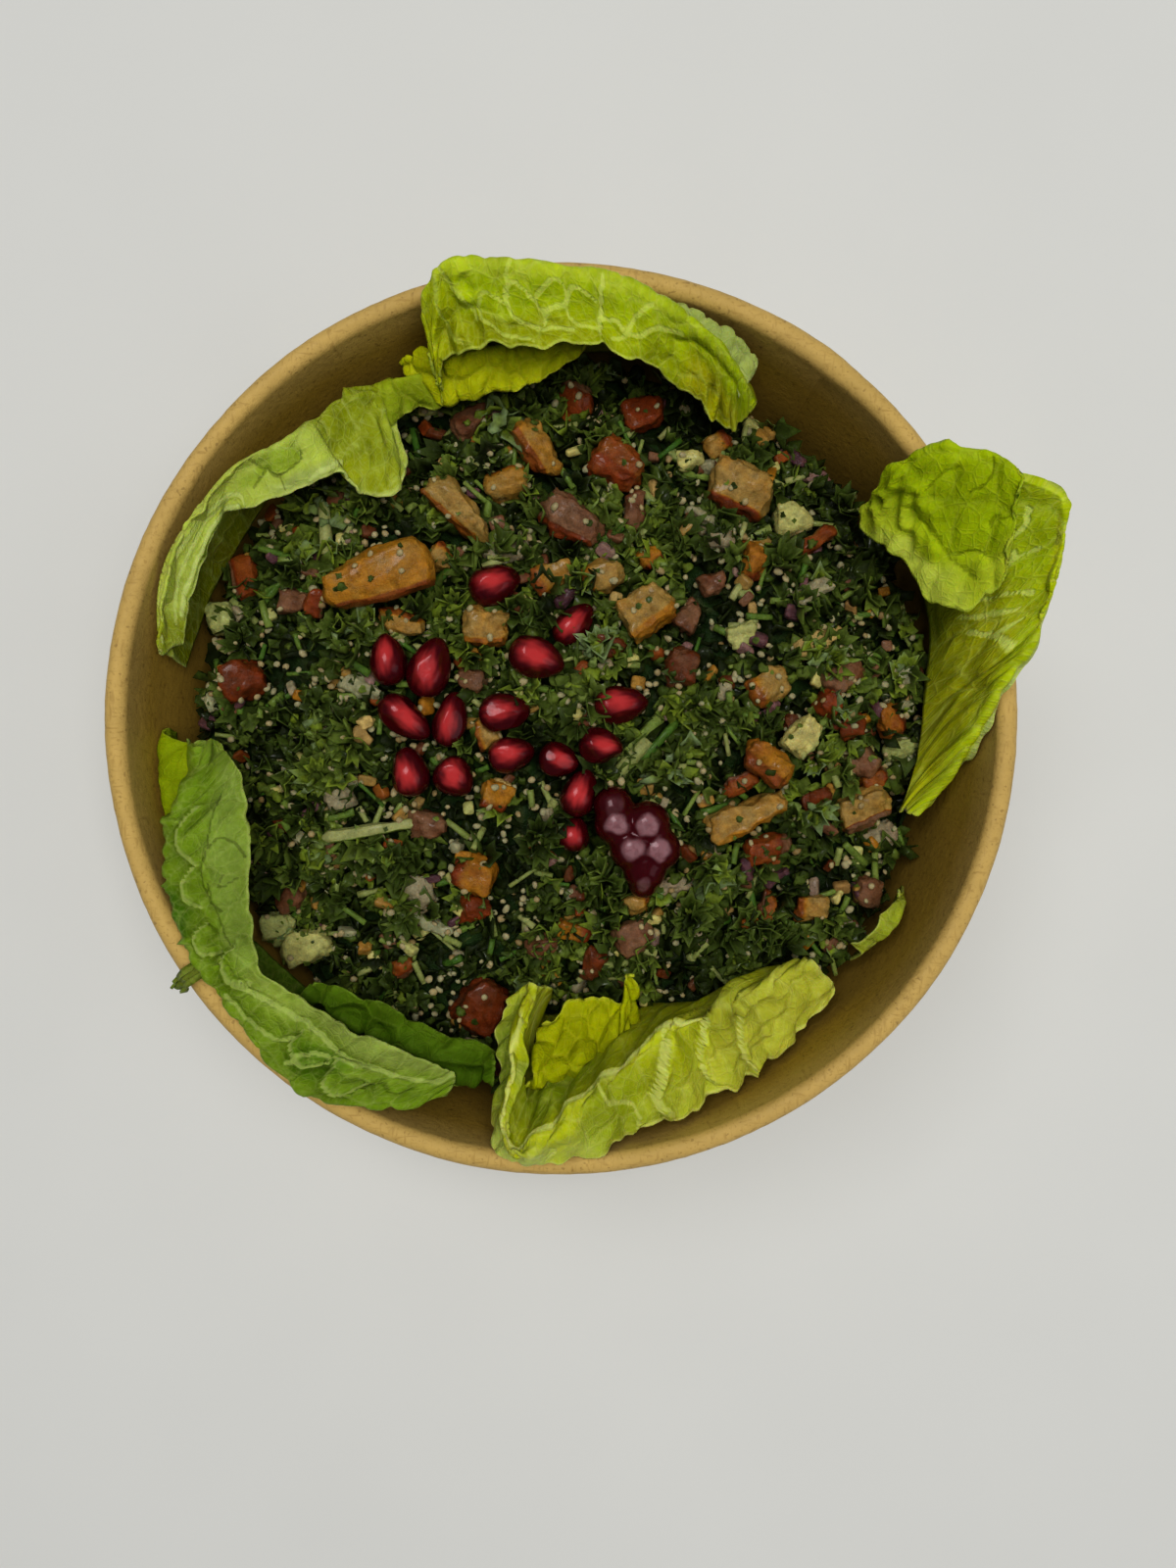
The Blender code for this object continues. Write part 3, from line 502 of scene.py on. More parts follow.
def colour(name, description, value):
    return FloatVectorProperty(
        name=name, description=description, default=value, size=3, subtype="COLOR", min=0, max=1
    )


def count(name, description, value):
    return IntProperty(name=name, description=description, default=value, min=0)


class BowlSettings(bpy.types.PropertyGroup):
    """Sizes and colours of the paper bowl"""

    rim_radius: length("Rim radius", "Outer radius of the rolled rim", RIM_RADIUS)
    roll_radius: length("Roll radius", "Radius of the roll of the rim", ROLL_RADIUS)
    foot_radius: length("Foot radius", "Outer radius of the foot", FOOT_RADIUS)
    paper: length("Paper", "Thickness of the paper", PAPER)
    segments: count("Segments", "Steps round the bowl", 320)
    kraft: colour("Kraft", "Colour of the kraft paper", (0.52, 0.355, 0.115))
    fibre: colour("Fibre", "Colour of the darker fibres", (0.33, 0.205, 0.060))


class LeafSettings(bpy.types.PropertyGroup):
    """Sizes of the lettuce leaves"""

    thickness: length("Thickness", "Thickness of a leaf", 0.5)
    grid: length("Grid", "Distance between a leaf's points", 0.38)
    cells: FloatProperty(name="Cells", description="Size of the blisters between veins", default=1)


class SaladSettings(bpy.types.PropertyGroup):
    """How much of each thing is in the salad, and its colours"""

    flakes: count("Flakes", "Small flakes of chopped parsley", 3100)
    crumbs: count("Crumbs", "Curled crumbs of chopped parsley", 1500)
    sprigs: count("Sprigs", "Larger curled pieces of parsley", 1500)
    grains: count("Grains", "Grains of bulgur", 2200)
    stems: count("Stems", "Cut parsley and chive stems", 420)
    flecks: count("Flecks", "Flecks of parsley on the larger cut pieces", 150)
    tomato: count("Tomato", "Small pieces of tomato", 170)
    onion: count("Onion", "Small pieces of onion", 110)
    cucumber: count("Cucumber", "Small pieces of cucumber", 60)
    dark_herb: colour("Dark herb", "Colour of the darkest parsley", (0.010, 0.015, 0.003))
    herb: colour("Herb", "Colour of most of the parsley", (0.050, 0.074, 0.012))
    bright_herb: colour("Bright herb", "Colour of the brightest parsley", (0.16, 0.21, 0.020))
    bulgur: colour("Bulgur", "Colour of the bulgur", (0.30, 0.285, 0.165))


class SeedSettings(bpy.types.PropertyGroup):
    """Colours of the pomegranate seeds"""

    gel: colour("Gel", "Colour of the dark outer gel", (0.052, 0.0008, 0.0035))
    core: colour("Core", "Colour of the lit middle of a seed", (0.46, 0.040, 0.042))
    clump_gel: colour("Clump gel", "Colour of the seeds in the clump", (0.048, 0.0008, 0.0035))


class StageSettings(bpy.types.PropertyGroup):
    """The floor, the lights and the camera"""

    floor: colour("Floor", "Colour of the floor", (0.67, 0.675, 0.66))
    camera_height: length("Camera height", "Height of the camera over the floor", 252)
    camera_x: length("Camera X", "Place of the camera to the right", 4.4)
    camera_y: length("Camera Y", "Place of the camera towards the top", -10.7)
    lens: FloatProperty(name="Lens", description="Focal length in mm on a 36 mm sensor", default=27)
    overhead: FloatProperty(name="Overhead", description="Power of the overhead light", default=12.5)
    fill: FloatProperty(name="Fill", description="Strength of the even light", default=0.085)


# ---------------------------------------------------------------- shape functions


def wall_radius(z):
    """Radius in mm of the inner face of the bowl's side at height z."""
    return FOOT_RADIUS - PAPER + WALL_SLOPE * z


def heap_height(x, y):
    """Height in mm of the heap's top over a point of the bowl."""
    share = math.hypot(x, y) / (wall_radius(HEAP_EDGE) - LEAF_ROOM)
    z = HEAP_EDGE + HEAP_CROWN * (1 - share**2)
    for mound_x, mound_y, rise, spread in MOUNDS:
        distance = math.hypot(x - mound_x, y - mound_y)
        z += rise * math.exp(-0.5 * (distance / spread) ** 2)
    return z + LUMP_RISE * noise.noise(Vector((x, y, 0)) / LUMP_SIZE)


def polar(point):
    angle, radius, height = point
    turn = math.radians(angle)
    return np.array((radius * math.cos(turn), radius * math.sin(turn), height))


def spline(points, t):
    """The smooth curve through the points, for an array t from 0 at the first to 1 at the last."""
    last = len(points) - 2
    place = t * (last + 1)
    i = np.clip(place.astype(int), 0, last)
    s = (place - i)[:, None]
    padded = np.concatenate([2 * points[:1] - points[1:2], points, 2 * points[-1:] - points[-2:-1]])
    rows = np.arange(len(t))
    pick = (lambda k: padded[i + k]) if padded.ndim == 2 else (lambda k: padded[i + k, rows])
    before, start, end, after = (pick(k) for k in range(4))
    bend = 2 * start + (end - before) * s
    bend += (2 * before - 5 * start + 4 * end - after) * s**2
    bend += (3 * start - before - 3 * end + after) * s**3
    return bend / 2


def waist(station):
    """Half way from foot to crest; a leaf that leans out over the rim first rises past it."""
    foot, crest = station[:2]
    middle = [(low + high) / 2 for low, high in zip(foot, crest)]
    if crest[1] > MOUTH_RADIUS:
        middle[1:] = MOUTH_RADIUS - RIM_ROOM, BOWL_HEIGHT
    return middle


def leaf_points(stations, u, v):
    """Points of the leaf in mm: u runs along its stations, v from foot over crest to lip."""
    lines = zip(*((s[0], waist(s), s[1], s[2]) for s in stations))
    foot, middle, crest, lip = (spline(np.array([polar(p) for p in line]), u) for line in lines)
    return spline(np.stack([foot, middle, crest, (crest + lip) / 2, lip]), v)


def smoothstep(low, high, x):
    t = np.clip((x - low) / (high - low), 0, 1)
    return t * t * (3 - 2 * t)


def soft_noise(x, y, seed):
    """Smooth noise from -1 to 1 over the plane, for arrays."""
    values = np.random.default_rng(seed).uniform(-1, 1, (64, 64))
    xi, yi = np.floor(x).astype(int), np.floor(y).astype(int)
    fx, fy = x - xi, y - yi
    fx, fy = fx * fx * (3 - 2 * fx), fy * fy * (3 - 2 * fy)
    a = values[xi % 64, yi % 64] * (1 - fx) + values[(xi + 1) % 64, yi % 64] * fx
    b = values[xi % 64, (yi + 1) % 64] * (1 - fx) + values[(xi + 1) % 64, (yi + 1) % 64] * fx
    return a * (1 - fy) + b * fy


def cells(x, y, size, seed):
    """How far each point is from the wall of its cell, in a net of cells of about this size."""
    shift = np.random.default_rng(seed).uniform(0.12, 0.88, (64, 64, 2))
    xi, yi = np.floor(x / size).astype(int), np.floor(y / size).astype(int)
    near = np.full(x.shape, 1e9)
    second = near.copy()
    for i in (-1, 0, 1):
        for j in (-1, 0, 1):
            spot = shift[(xi + i) % 64, (yi + j) % 64]
            distance = np.hypot((xi + i + spot[..., 0]) * size - x, (yi + j + spot[..., 1]) * size - y)
            second = np.minimum(second, np.maximum(near, distance))
            near = np.minimum(near, distance)
    return second - near


# ---------------------------------------------------------------- mesh helpers


def finish_mesh(bm, name):
    mesh = bpy.data.meshes.new(name)
    bm.to_mesh(mesh)
    bm.free()
    mesh.shade_smooth()
    return mesh


def make_piece(name, mesh, materials, nodes=()):
    """Links the mesh as a piece that rides on the bowl and, if asked, stands for its solids."""
    piece = bpy.data.objects.new(name, mesh)
    for material in materials:
        mesh.materials.append(material)
    bpy.context.scene.collection.objects.link(piece)
    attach(piece, BODY)
    if nodes:
        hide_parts(*nodes)
    return piece


def add_point_values(mesh, name, values):
    layer = mesh.attributes.new(name, "FLOAT", "POINT")
    layer.data.foreach_set("value", np.asarray(values, np.float32))


def add_point_colours(mesh, name, colours):
    layer = mesh.attributes.new(name, "FLOAT_COLOR", "POINT")
    full = np.concatenate([colours, np.ones((len(colours), 1))], axis=1)
    layer.data.foreach_set("color", full.astype(np.float32).ravel())


def turned_mesh(name, profile, segments, closed):
    """A profile of (radius, height) points in mm turned about the Z axis."""
    bm = bmesh.new()
    points = [bm.verts.new((r * MM, 0, z * MM)) for r, z in profile]
    for first, second in zip(points, points[1:]):
        bm.edges.new((first, second))
    if closed:
        bm.edges.new((points[-1], points[0]))
    bmesh.ops.spin(
        bm,
        geom=bm.verts[:] + bm.edges[:],
        cent=(0, 0, 0),
        axis=(0, 0, 1),
        angle=2 * math.pi,
        steps=segments,
        use_merge=True,
    )
    bmesh.ops.remove_doubles(bm, verts=bm.verts, dist=0.005 * MM)
    bmesh.ops.recalc_face_normals(bm, faces=bm.faces)
    return bm


def template(bm, shades=0.0):
    """A small shape's points and faces, kept to be copied many times, and shades over its tint."""
    bmesh.ops.triangulate(bm, faces=bm.faces)
    bm.verts.index_update()
    points = np.array([v.co for v in bm.verts])
    faces = np.array([[v.index for v in face.verts] for face in bm.faces])
    bm.free()
    return points, faces, shades


def joined_copies(name, templates, copies):
    """One mesh of many copies, each (template number, 4x4 matrix, tint from 0 to 1)."""
    points, faces, tints = [], [], []
    first = 0
    for number, matrix, tint in copies:
        shape, triangles, shades = templates[number]
        turned = np.array(matrix)
        points.append(shape @ turned[:3, :3].T + turned[:3, 3])
        faces.append(triangles + first)
        tints.append(np.full(len(shape), tint) + shades)
        first += len(shape)
    points, faces = np.concatenate(points), np.concatenate(faces)
    mesh = bpy.data.meshes.new(name)
    mesh.vertices.add(len(points))
    mesh.vertices.foreach_set("co", points.astype(np.float32).ravel())
    mesh.loops.add(faces.size)
    mesh.loops.foreach_set("vertex_index", faces.astype(np.int32).ravel())
    mesh.polygons.add(len(faces))
    mesh.polygons.foreach_set("loop_start", np.arange(0, faces.size, 3, dtype=np.int32))
    mesh.update(calc_edges=True)
    mesh.shade_smooth()
    add_point_values(mesh, "tint", np.concatenate(tints))
    return mesh


def random_turn(rng, tilt):
    """A turn to any side, tipped by at most about tilt degrees."""
    tip = Euler([math.radians(rng.gauss(0, tilt)) for _ in "xy"] + [0])
    return tip.to_matrix() @ Matrix.Rotation(rng.uniform(0, 2 * math.pi), 3, "Z")


def placed(x, y, z, turn, scale):
    matrix = (turn @ Matrix.Diagonal(Vector(scale))).to_4x4()
    matrix.translation = Vector((x, y, z)) * MM
    return matrix


# ---------------------------------------------------------------- material helpers


def set_socket(tree, socket, value):
    if isinstance(value, bpy.types.NodeSocket):
        tree.links.new(value, socket)
    elif socket.type == "RGBA":
        socket.default_value = (*value, 1)
    else:
        socket.default_value = value


def add_node(tree, kind, values=None, **settings):
    """A shader node with its settings, and with its sockets set or linked by name."""
    node = tree.nodes.new(kind)
    for name, value in settings.items():
        setattr(node, name, value)
    for name, value in (values or {}).items():
        set_socket(tree, node.inputs[name], value)
    return node


def mixed(tree, factor, first, second, blend="MIX"):
    node = tree.nodes.new("ShaderNodeMix")
    node.data_type = "RGBA"
    node.blend_type = blend
    for socket, value in zip((node.inputs[0], node.inputs[6], node.inputs[7]), (factor, first, second)):
        set_socket(tree, socket, value)
    return node.outputs[2]


def worked_out(tree, operation, first, second=0.0):
    node = tree.nodes.new("ShaderNodeMath")
    node.operation = operation
    set_socket(tree, node.inputs[0], first)
    set_socket(tree, node.inputs[1], second)
    return node.outputs[0]


def ranged(tree, value, low, high, to_low=0.0, to_high=1.0):
    values = {"Value": value, "From Min": low, "From Max": high, "To Min": to_low, "To Max": to_high}
    return add_node(tree, "ShaderNodeMapRange", values).outputs["Result"]


def attribute(tree, name, output="Fac"):
    return add_node(tree, "ShaderNodeAttribute", attribute_name=name).outputs[output]


def place_of(tree):
    return add_node(tree, "ShaderNodeTexCoord").outputs["Object"]


def noise_of(tree, vector, scale, detail=2.0, distortion=0.0):
    values = {"Vector": vector, "Scale": scale, "Detail": detail, "Distortion": distortion}
    return add_node(tree, "ShaderNodeTexNoise", values).outputs["Fac"]


def ramp(tree, factor, stops):
    """Colours along a factor, from (place, colour) stops."""
    node = add_node(tree, "ShaderNodeValToRGB", {"Fac": factor})
    elements = node.color_ramp.elements
    while len(elements) < len(stops):
        elements.new(0.5)
    for element, (place, shade) in zip(elements, stops):
        element.position = place
        element.color = (*shade, 1)
    return node.outputs["Color"]


def new_material(name):
    """A material with its node tree and its Principled shader."""
    material = bpy.data.materials.new(name)
    material.use_nodes = True
    tree = material.node_tree
    return material, tree, tree.nodes["Principled BSDF"]


def set_shader(tree, shader, values):
    for name, value in values.items():
        set_socket(tree, shader.inputs[name], value)


def new_group(name, inputs, outputs):
    """An empty node group with these sockets: name to (type, default) and name to type."""
    group = bpy.data.node_groups.new(name, "ShaderNodeTree")
    for socket, (kind, default) in inputs.items():
        made = group.interface.new_socket(name=socket, in_out="INPUT", socket_type=kind)
        if default is not None:
            made.default_value = default
    for socket, kind in outputs.items():
        group.interface.new_socket(name=socket, in_out="OUTPUT", socket_type=kind)
    return group, group.nodes.new("NodeGroupInput"), group.nodes.new("NodeGroupOutput")


def mottle_group():
    """Cloudy light and dark over a colour, in two sizes."""
    name = "salad_mottle"
    if name in bpy.data.node_groups:
        return bpy.data.node_groups[name]
    inputs = {
        "Vector": ("NodeSocketVector", None),
        "Color": ("NodeSocketColor", None),
        "Scale": ("NodeSocketFloat", 300.0),
        "Amount": ("NodeSocketFloat", 0.3),
    }
    group, start, end = new_group(name, inputs, {"Color": "NodeSocketColor", "Mask": "NodeSocketFloat"})
    scale = start.outputs["Scale"]
    large = noise_of(group, start.outputs["Vector"], scale, 3.0)
    small = noise_of(group, start.outputs["Vector"], worked_out(group, "MULTIPLY", scale, 4.3), 2.0)
    both = worked_out(group, "ADD", worked_out(group, "MULTIPLY", large, 0.62), worked_out(group, "MULTIPLY", small, 0.38))
    mask = ranged(group, both, 0.32, 0.68)
    high = worked_out(group, "ADD", 1.0, start.outputs["Amount"])
    low = worked_out(group, "SUBTRACT", 1.0, start.outputs["Amount"])
    node = add_node(group, "ShaderNodeMapRange", {"Value": mask, "To Min": low, "To Max": high})
    grey = add_node(group, "ShaderNodeCombineColor", dict.fromkeys(("Red", "Green", "Blue"), node.outputs["Result"]))
    shade = mixed(group, 1.0, start.outputs["Color"], grey.outputs["Color"], "MULTIPLY")
    group.links.new(shade, end.inputs["Color"])
    group.links.new(mask, end.inputs["Mask"])
    return group


def relief_group():
    """Low relief of fine bumps over coarser ones."""
    name = "salad_relief"
    if name in bpy.data.node_groups:
        return bpy.data.node_groups[name]
    inputs = {
        "Vector": ("NodeSocketVector", None),
        "Scale": ("NodeSocketFloat", 900.0),
        "Fine": ("NodeSocketFloat", 0.4),
        "Depth": ("NodeSocketFloat", 0.0002),
    }
    group, start, end = new_group(name, inputs, {"Normal": "NodeSocketVector", "Height": "NodeSocketFloat"})
    coarse = noise_of(group, start.outputs["Vector"], start.outputs["Scale"], 2.0)
    scale = worked_out(group, "MULTIPLY", start.outputs["Scale"], 5.0)
    fine = noise_of(group, start.outputs["Vector"], scale, 1.0)
    height = worked_out(group, "ADD", coarse, worked_out(group, "MULTIPLY", fine, start.outputs["Fine"]))
    bump = add_node(group, "ShaderNodeBump", {"Height": height, "Distance": start.outputs["Depth"]})
    group.links.new(bump.outputs["Normal"], end.inputs["Normal"])
    group.links.new(height, end.inputs["Height"])
    return group


def mottled(tree, shade, scale, amount, vector=None):
    values = {"Vector": vector or place_of(tree), "Color": shade, "Scale": scale, "Amount": amount}
    node = add_node(tree, "ShaderNodeGroup", node_tree=mottle_group())
    for name, value in values.items():
        set_socket(tree, node.inputs[name], value)
    return node.outputs["Color"], node.outputs["Mask"]


def relief(tree, scale, fine, depth, vector=None):
    node = add_node(tree, "ShaderNodeGroup", node_tree=relief_group())
    values = {"Vector": vector or place_of(tree), "Scale": scale, "Fine": fine, "Depth": depth}
    for name, value in values.items():
        set_socket(tree, node.inputs[name], value)
    return node.outputs["Normal"]


# ---------------------------------------------------------------- materials


# Painted shade: this tint darkens the wall's inner face under the rim, where little light reaches.
WALL_SHADE_TINT = (0.72, 0.67, 0.30)


def inside_of_wall(tree, place):
    """1 on the wall's inner face under the rolled rim, 0 on the rim and the outer face."""
    parts = add_node(tree, "ShaderNodeSeparateXYZ", {"Vector": place}).outputs
    across = add_node(tree, "ShaderNodeVectorMath", {"Vector": place}, operation="MULTIPLY")
    across.inputs[1].default_value = (1.0, 1.0, 0.0)
    radius = add_node(tree, "ShaderNodeVectorMath", {"Vector": across.outputs["Vector"]}, operation="LENGTH")
    slope = worked_out(tree, "MULTIPLY", parts["Z"], WALL_SLOPE)
    outer = worked_out(tree, "ADD", slope, FOOT_RADIUS / 1000)
    depth = worked_out(tree, "SUBTRACT", outer, radius.outputs["Value"])
    inner = ranged(tree, depth, PAPER * 0.4 / 1000, PAPER * 0.6 / 1000)
    below = ranged(tree, parts["Z"], (BOWL_HEIGHT - 2.5) / 1000, (BOWL_HEIGHT - 9.0) / 1000)
    return worked_out(tree, "MULTIPLY", inner, below)


def kraft_material(settings):
    """Brown kraft paper: cloudy colour, short darker fibres, a slight waxy gloss, and painted shade on the inside of
    the wall.
    """
    material, tree, shader = new_material("kraft_paper_fibre")
    place = place_of(tree)
    cloudy, _ = mottled(tree, tuple(settings.kraft), 140.0, 0.07, place)
    streaks = []
    for turn, stretch in ((0.5, (1.0, 1.0, 0.16)), (-0.9, (0.2, 1.0, 1.0)), (1.9, (1.0, 0.2, 0.8))):
        mapping = add_node(tree, "ShaderNodeMapping", {"Vector": place, "Rotation": (turn, turn, turn), "Scale": stretch})
        line = noise_of(tree, mapping.outputs["Vector"], 1900.0, 1.0, 0.4)
        streaks.append(ranged(tree, line, 0.60, 0.74))
    fibres = worked_out(tree, "MAXIMUM", worked_out(tree, "MAXIMUM", streaks[0], streaks[1]), streaks[2])
    fibred = mixed(tree, worked_out(tree, "MULTIPLY", fibres, 0.5), cloudy, tuple(settings.fibre))
    specks = ranged(tree, noise_of(tree, place, 1300.0, 0.0), 0.74, 0.80)
    speckled = mixed(tree, worked_out(tree, "MULTIPLY", specks, 0.45), fibred, (0.20, 0.12, 0.04))
    rough = ranged(tree, noise_of(tree, place, 500.0, 2.0), 0.3, 0.7, 0.46, 0.62)
    # Painted shade on the wall's inner face below the rim.
    shaded_wall = mixed(tree, worked_out(tree, "MULTIPLY", inside_of_wall(tree, place), 0.85), speckled, WALL_SHADE_TINT, "MULTIPLY")
    values = {
        "Base Color": shaded_wall,
        "Roughness": rough,
        "Specular IOR Level": 0.42,
        "Normal": relief(tree, 850.0, 0.5, 0.00010, place),
    }
    set_shader(tree, shader, values)
    return material


def lettuce_material(name, veil):
    """Lettuce: the leaf's own colours, fine pale veins, a thin waxy veil, and light let through."""
    material, tree, shader = new_material(name)
    flat = add_node(tree, "ShaderNodeUVMap", uv_map="leaf").outputs["UV"]
    own = attribute(tree, "leaf_colour", "Color")
    veins = attribute(tree, "vein_show")
    lines = []
    for scale, width in ((0.42, 0.10), (1.05, 0.16)):
        values = {"Vector": flat, "Scale": scale * 100, "Randomness": 0.9}
        net = add_node(tree, "ShaderNodeTexVoronoi", values, feature="DISTANCE_TO_EDGE", voronoi_dimensions="2D")
        lines.append(ranged(tree, net.outputs["Distance"], 0.0, width, 1.0, 0.0))
    fine = worked_out(tree, "MAXIMUM", lines[0], worked_out(tree, "MULTIPLY", lines[1], 0.6))
    line_strength = worked_out(tree, "MULTIPLY", worked_out(tree, "MULTIPLY", fine, veins), 0.55)
    veined = mixed(tree, line_strength, own, attribute(tree, "vein_colour", "Color"))
    line = ranged(tree, attribute(tree, "line_beyond"), 0.14, -0.06)
    seen = worked_out(tree, "MULTIPLY", line, attribute(tree, "line_show"))
    lined = mixed(tree, seen, veined, attribute(tree, "line_colour", "Color"))
    cloudy, mask = mottled(tree, lined, 210.0, 0.16)
    veiled = mixed(tree, worked_out(tree, "MULTIPLY", mask, veil), cloudy, (0.40, 0.48, 0.16))
    rough = ranged(tree, noise_of(tree, place_of(tree), 700.0, 2.0), 0.3, 0.7, 0.34, 0.52)
    sunken = worked_out(tree, "SUBTRACT", worked_out(tree, "MULTIPLY", fine, 0.5), seen)
    first = add_node(tree, "ShaderNodeBump", {"Height": sunken, "Distance": 0.00020, "Strength": 0.8})
    grain = noise_of(tree, place_of(tree), 2600.0, 2.0)
    values = {"Height": grain, "Distance": 0.00008, "Strength": 0.7, "Normal": first.outputs["Normal"]}
    second = add_node(tree, "ShaderNodeBump", values)
    values = {
        "Base Color": veiled,
        "Roughness": rough,
        "Specular IOR Level": 0.2,
        "Specular Tint": (0.9, 1.0, 0.35),
        "Subsurface Weight": 0.35,
        "Subsurface Radius": (0.55, 1.0, 0.12),
        "Subsurface Scale": 0.0011,
        "Normal": second.outputs["Normal"],
    }
    set_shader(tree, shader, values)
    return material


def herb_material(settings):
    """Chopped parsley: from near black, painted shade in its folds and in the gaps of the heap, to fresh green; wet in
    places.
    """
    material, tree, shader = new_material("parsley_wet")
    stops = (
        (0.0, tuple(settings.dark_herb)),
        (0.40, tuple(settings.herb)),
        (0.66, (0.096, 0.130, 0.022)),
        (0.84, tuple(settings.bright_herb)),
        # The palest, milky stop is a painted highlight on wet, lit edges.
        (1.0, (0.15, 0.20, 0.085)),
    )
    shade = ramp(tree, attribute(tree, "tint"), stops)
    cloudy, mask = mottled(tree, shade, 420.0, 0.42)
    rough = ranged(tree, mask, 0.0, 1.0, 0.26, 0.50)
    wet = ranged(tree, noise_of(tree, place_of(tree), 260.0, 1.0), 0.50, 0.62, 0.0, 0.7)
    values = {
        "Base Color": cloudy,
        "Roughness": rough,
        "Specular IOR Level": 0.35,
        "Coat Weight": wet,
        "Coat Roughness": 0.16,
        "Subsurface Weight": 0.12,
        "Subsurface Radius": (0.4, 1.0, 0.1),
        "Subsurface Scale": 0.0006,
        "Normal": relief(tree, 1500.0, 0.5, 0.00016),
    }
    set_shader(tree, shader, values)
    return material


def food_material(
    name, stops, mottle=(700.0, 0.38), rough=(0.26, 0.5), coat=0.35, flow=0.2, depth=0.0003, wander_by=0.08
):
    """A moist cut food whose colour runs along its tint."""
    material, tree, shader = new_material(name)
    wander = ranged(tree, noise_of(tree, place_of(tree), 330.0, 2.0), 0.3, 0.7, -wander_by, wander_by)
    shade = ramp(tree, worked_out(tree, "ADD", attribute(tree, "tint"), wander), stops)
    cloudy, mask = mottled(tree, shade, *mottle)
    wet = ranged(tree, noise_of(tree, place_of(tree), 240.0, 1.0), 0.40, 0.62, 0.0, coat)
    values = {
        "Base Color": cloudy,
        "Roughness": ranged(tree, mask, 0.0, 1.0, *rough),
        "Coat Weight": wet,
        "Coat Roughness": 0.10,
        "Subsurface Weight": flow,
        "Subsurface Radius": (1.0, 0.5, 0.25),
        "Subsurface Scale": 0.0012,
        "Normal": relief(tree, 900.0, 0.45, depth),
    }
    set_shader(tree, shader, values)
    return material


def tomato_material():
    """Tomato by tint: ochre flesh, orange, red, dull red, then skin."""
    stops = (
        (0.0, (0.29, 0.185, 0.052)),
        (0.22, (0.33, 0.150, 0.012)),
        (0.45, (0.21, 0.066, 0.012)),
        (0.62, (0.18, 0.034, 0.006)),
        (0.80, (0.10, 0.025, 0.006)),
        (1.0, (0.18, 0.092, 0.048)),
    )
    return food_material("tomato_cut", stops, coat=0.6, flow=0.25)


def onion_material():
    stops = (
        (0.0, (0.30, 0.30, 0.17)),
        (0.4, (0.26, 0.21, 0.13)),
        (0.7, (0.22, 0.11, 0.11)),
        (1.0, (0.070, 0.028, 0.036)),
    )
    return food_material("onion_cut", stops, coat=0.5, flow=0.4)


def cucumber_material():
    stops = ((0.0, (0.46, 0.40, 0.14)), (0.6, (0.34, 0.36, 0.13)), (1.0, (0.05, 0.10, 0.018)))
    return food_material("cucumber_cut", stops, coat=0.5, flow=0.35)


def stem_material():
    stops = ((0.0, (0.30, 0.31, 0.12)), (0.5, (0.15, 0.21, 0.04)), (1.0, (0.05, 0.12, 0.015)))
    return food_material("cut_stem", stops, mottle=(600.0, 0.25), coat=0.4, flow=0.25)


def grain_material(settings):
    stops = (
        (0.0, tuple(settings.bulgur)),
        (0.6, (0.36, 0.30, 0.16)),
        (1.0, (0.24, 0.17, 0.07)),
    )
    return food_material("bulgur_grain", stops, (900.0, 0.18), (0.30, 0.50), 0.25, 0.35, 0.00010)


def crisp_material():
    stops = ((0.0, (0.46, 0.33, 0.12)), (1.0, (0.20, 0.11, 0.035)))
    return food_material("fried_crisp", stops, (700.0, 0.4), (0.35, 0.6), 0.2, 0.1, 0.00030)


def core_material(settings):
    """The underlayer of the heap, seen only between the pieces; its near-black colour is painted shade for the gaps
    between them.
    """
    material, tree, shader = new_material("heap_underlayer")
    stops = ((0.0, tuple(settings.dark_herb)), (0.55, (0.014, 0.032, 0.007)), (1.0, (0.06, 0.065, 0.022)))
    shade = ramp(tree, attribute(tree, "tint"), stops)
    cloudy, mask = mottled(tree, shade, 330.0, 0.5)
    values = {
        "Base Color": cloudy,
        "Roughness": ranged(tree, mask, 0.0, 1.0, 0.30, 0.55),
        "Normal": relief(tree, 700.0, 0.6, 0.0006),
    }
    set_shader(tree, shader, values)
    return material


def pomegranate_material(name, gel, core, dapple):
    """Clear gel over a lit middle: dark and red at its edge, brighter along its own axis."""
    material, tree, shader = new_material(name)
    lit = attribute(tree, "glow")
    cloud = noise_of(tree, place_of(tree), dapple, 2.0, 0.6)
    amount = worked_out(tree, "MULTIPLY", lit, ranged(tree, cloud, 0.30, 0.62, 0.66, 1.10))
    middle = tuple(0.45 * a + 0.55 * b for a, b in zip(gel, core))
    stops = ((0.0, gel), (0.5, middle), (1.0, core))
    shade = ramp(tree, amount, stops)
    values = {
        "Base Color": shade,
        "Roughness": 0.24,
        "Specular IOR Level": 0.4,
        "Specular Tint": (1.0, 0.55, 0.60),
        "Coat Weight": 0.55,
        "Coat Roughness": 0.08,
        "Subsurface Weight": 0.35,
        "Subsurface Radius": (1.0, 0.12, 0.14),
        "Subsurface Scale": 0.0016,
        "Normal": relief(tree, 420.0, 0.15, 0.00022),
    }
    set_shader(tree, shader, values)
    return material


# ---------------------------------------------------------------- the bowl


def roll_profile(segments):
    """The rolled rim from the top of its bead round the outside to its tucked end, in mm."""
    points = []
    for step in range(segments + 1):
        turn = math.radians(90 - step * ROLL_TURN / segments)
        across = RIM_RADIUS - ROLL_RADIUS + ROLL_RADIUS * math.cos(turn)
        points.append((across, ROLL_HEIGHT + ROLL_RADIUS * math.sin(turn)))
    return points


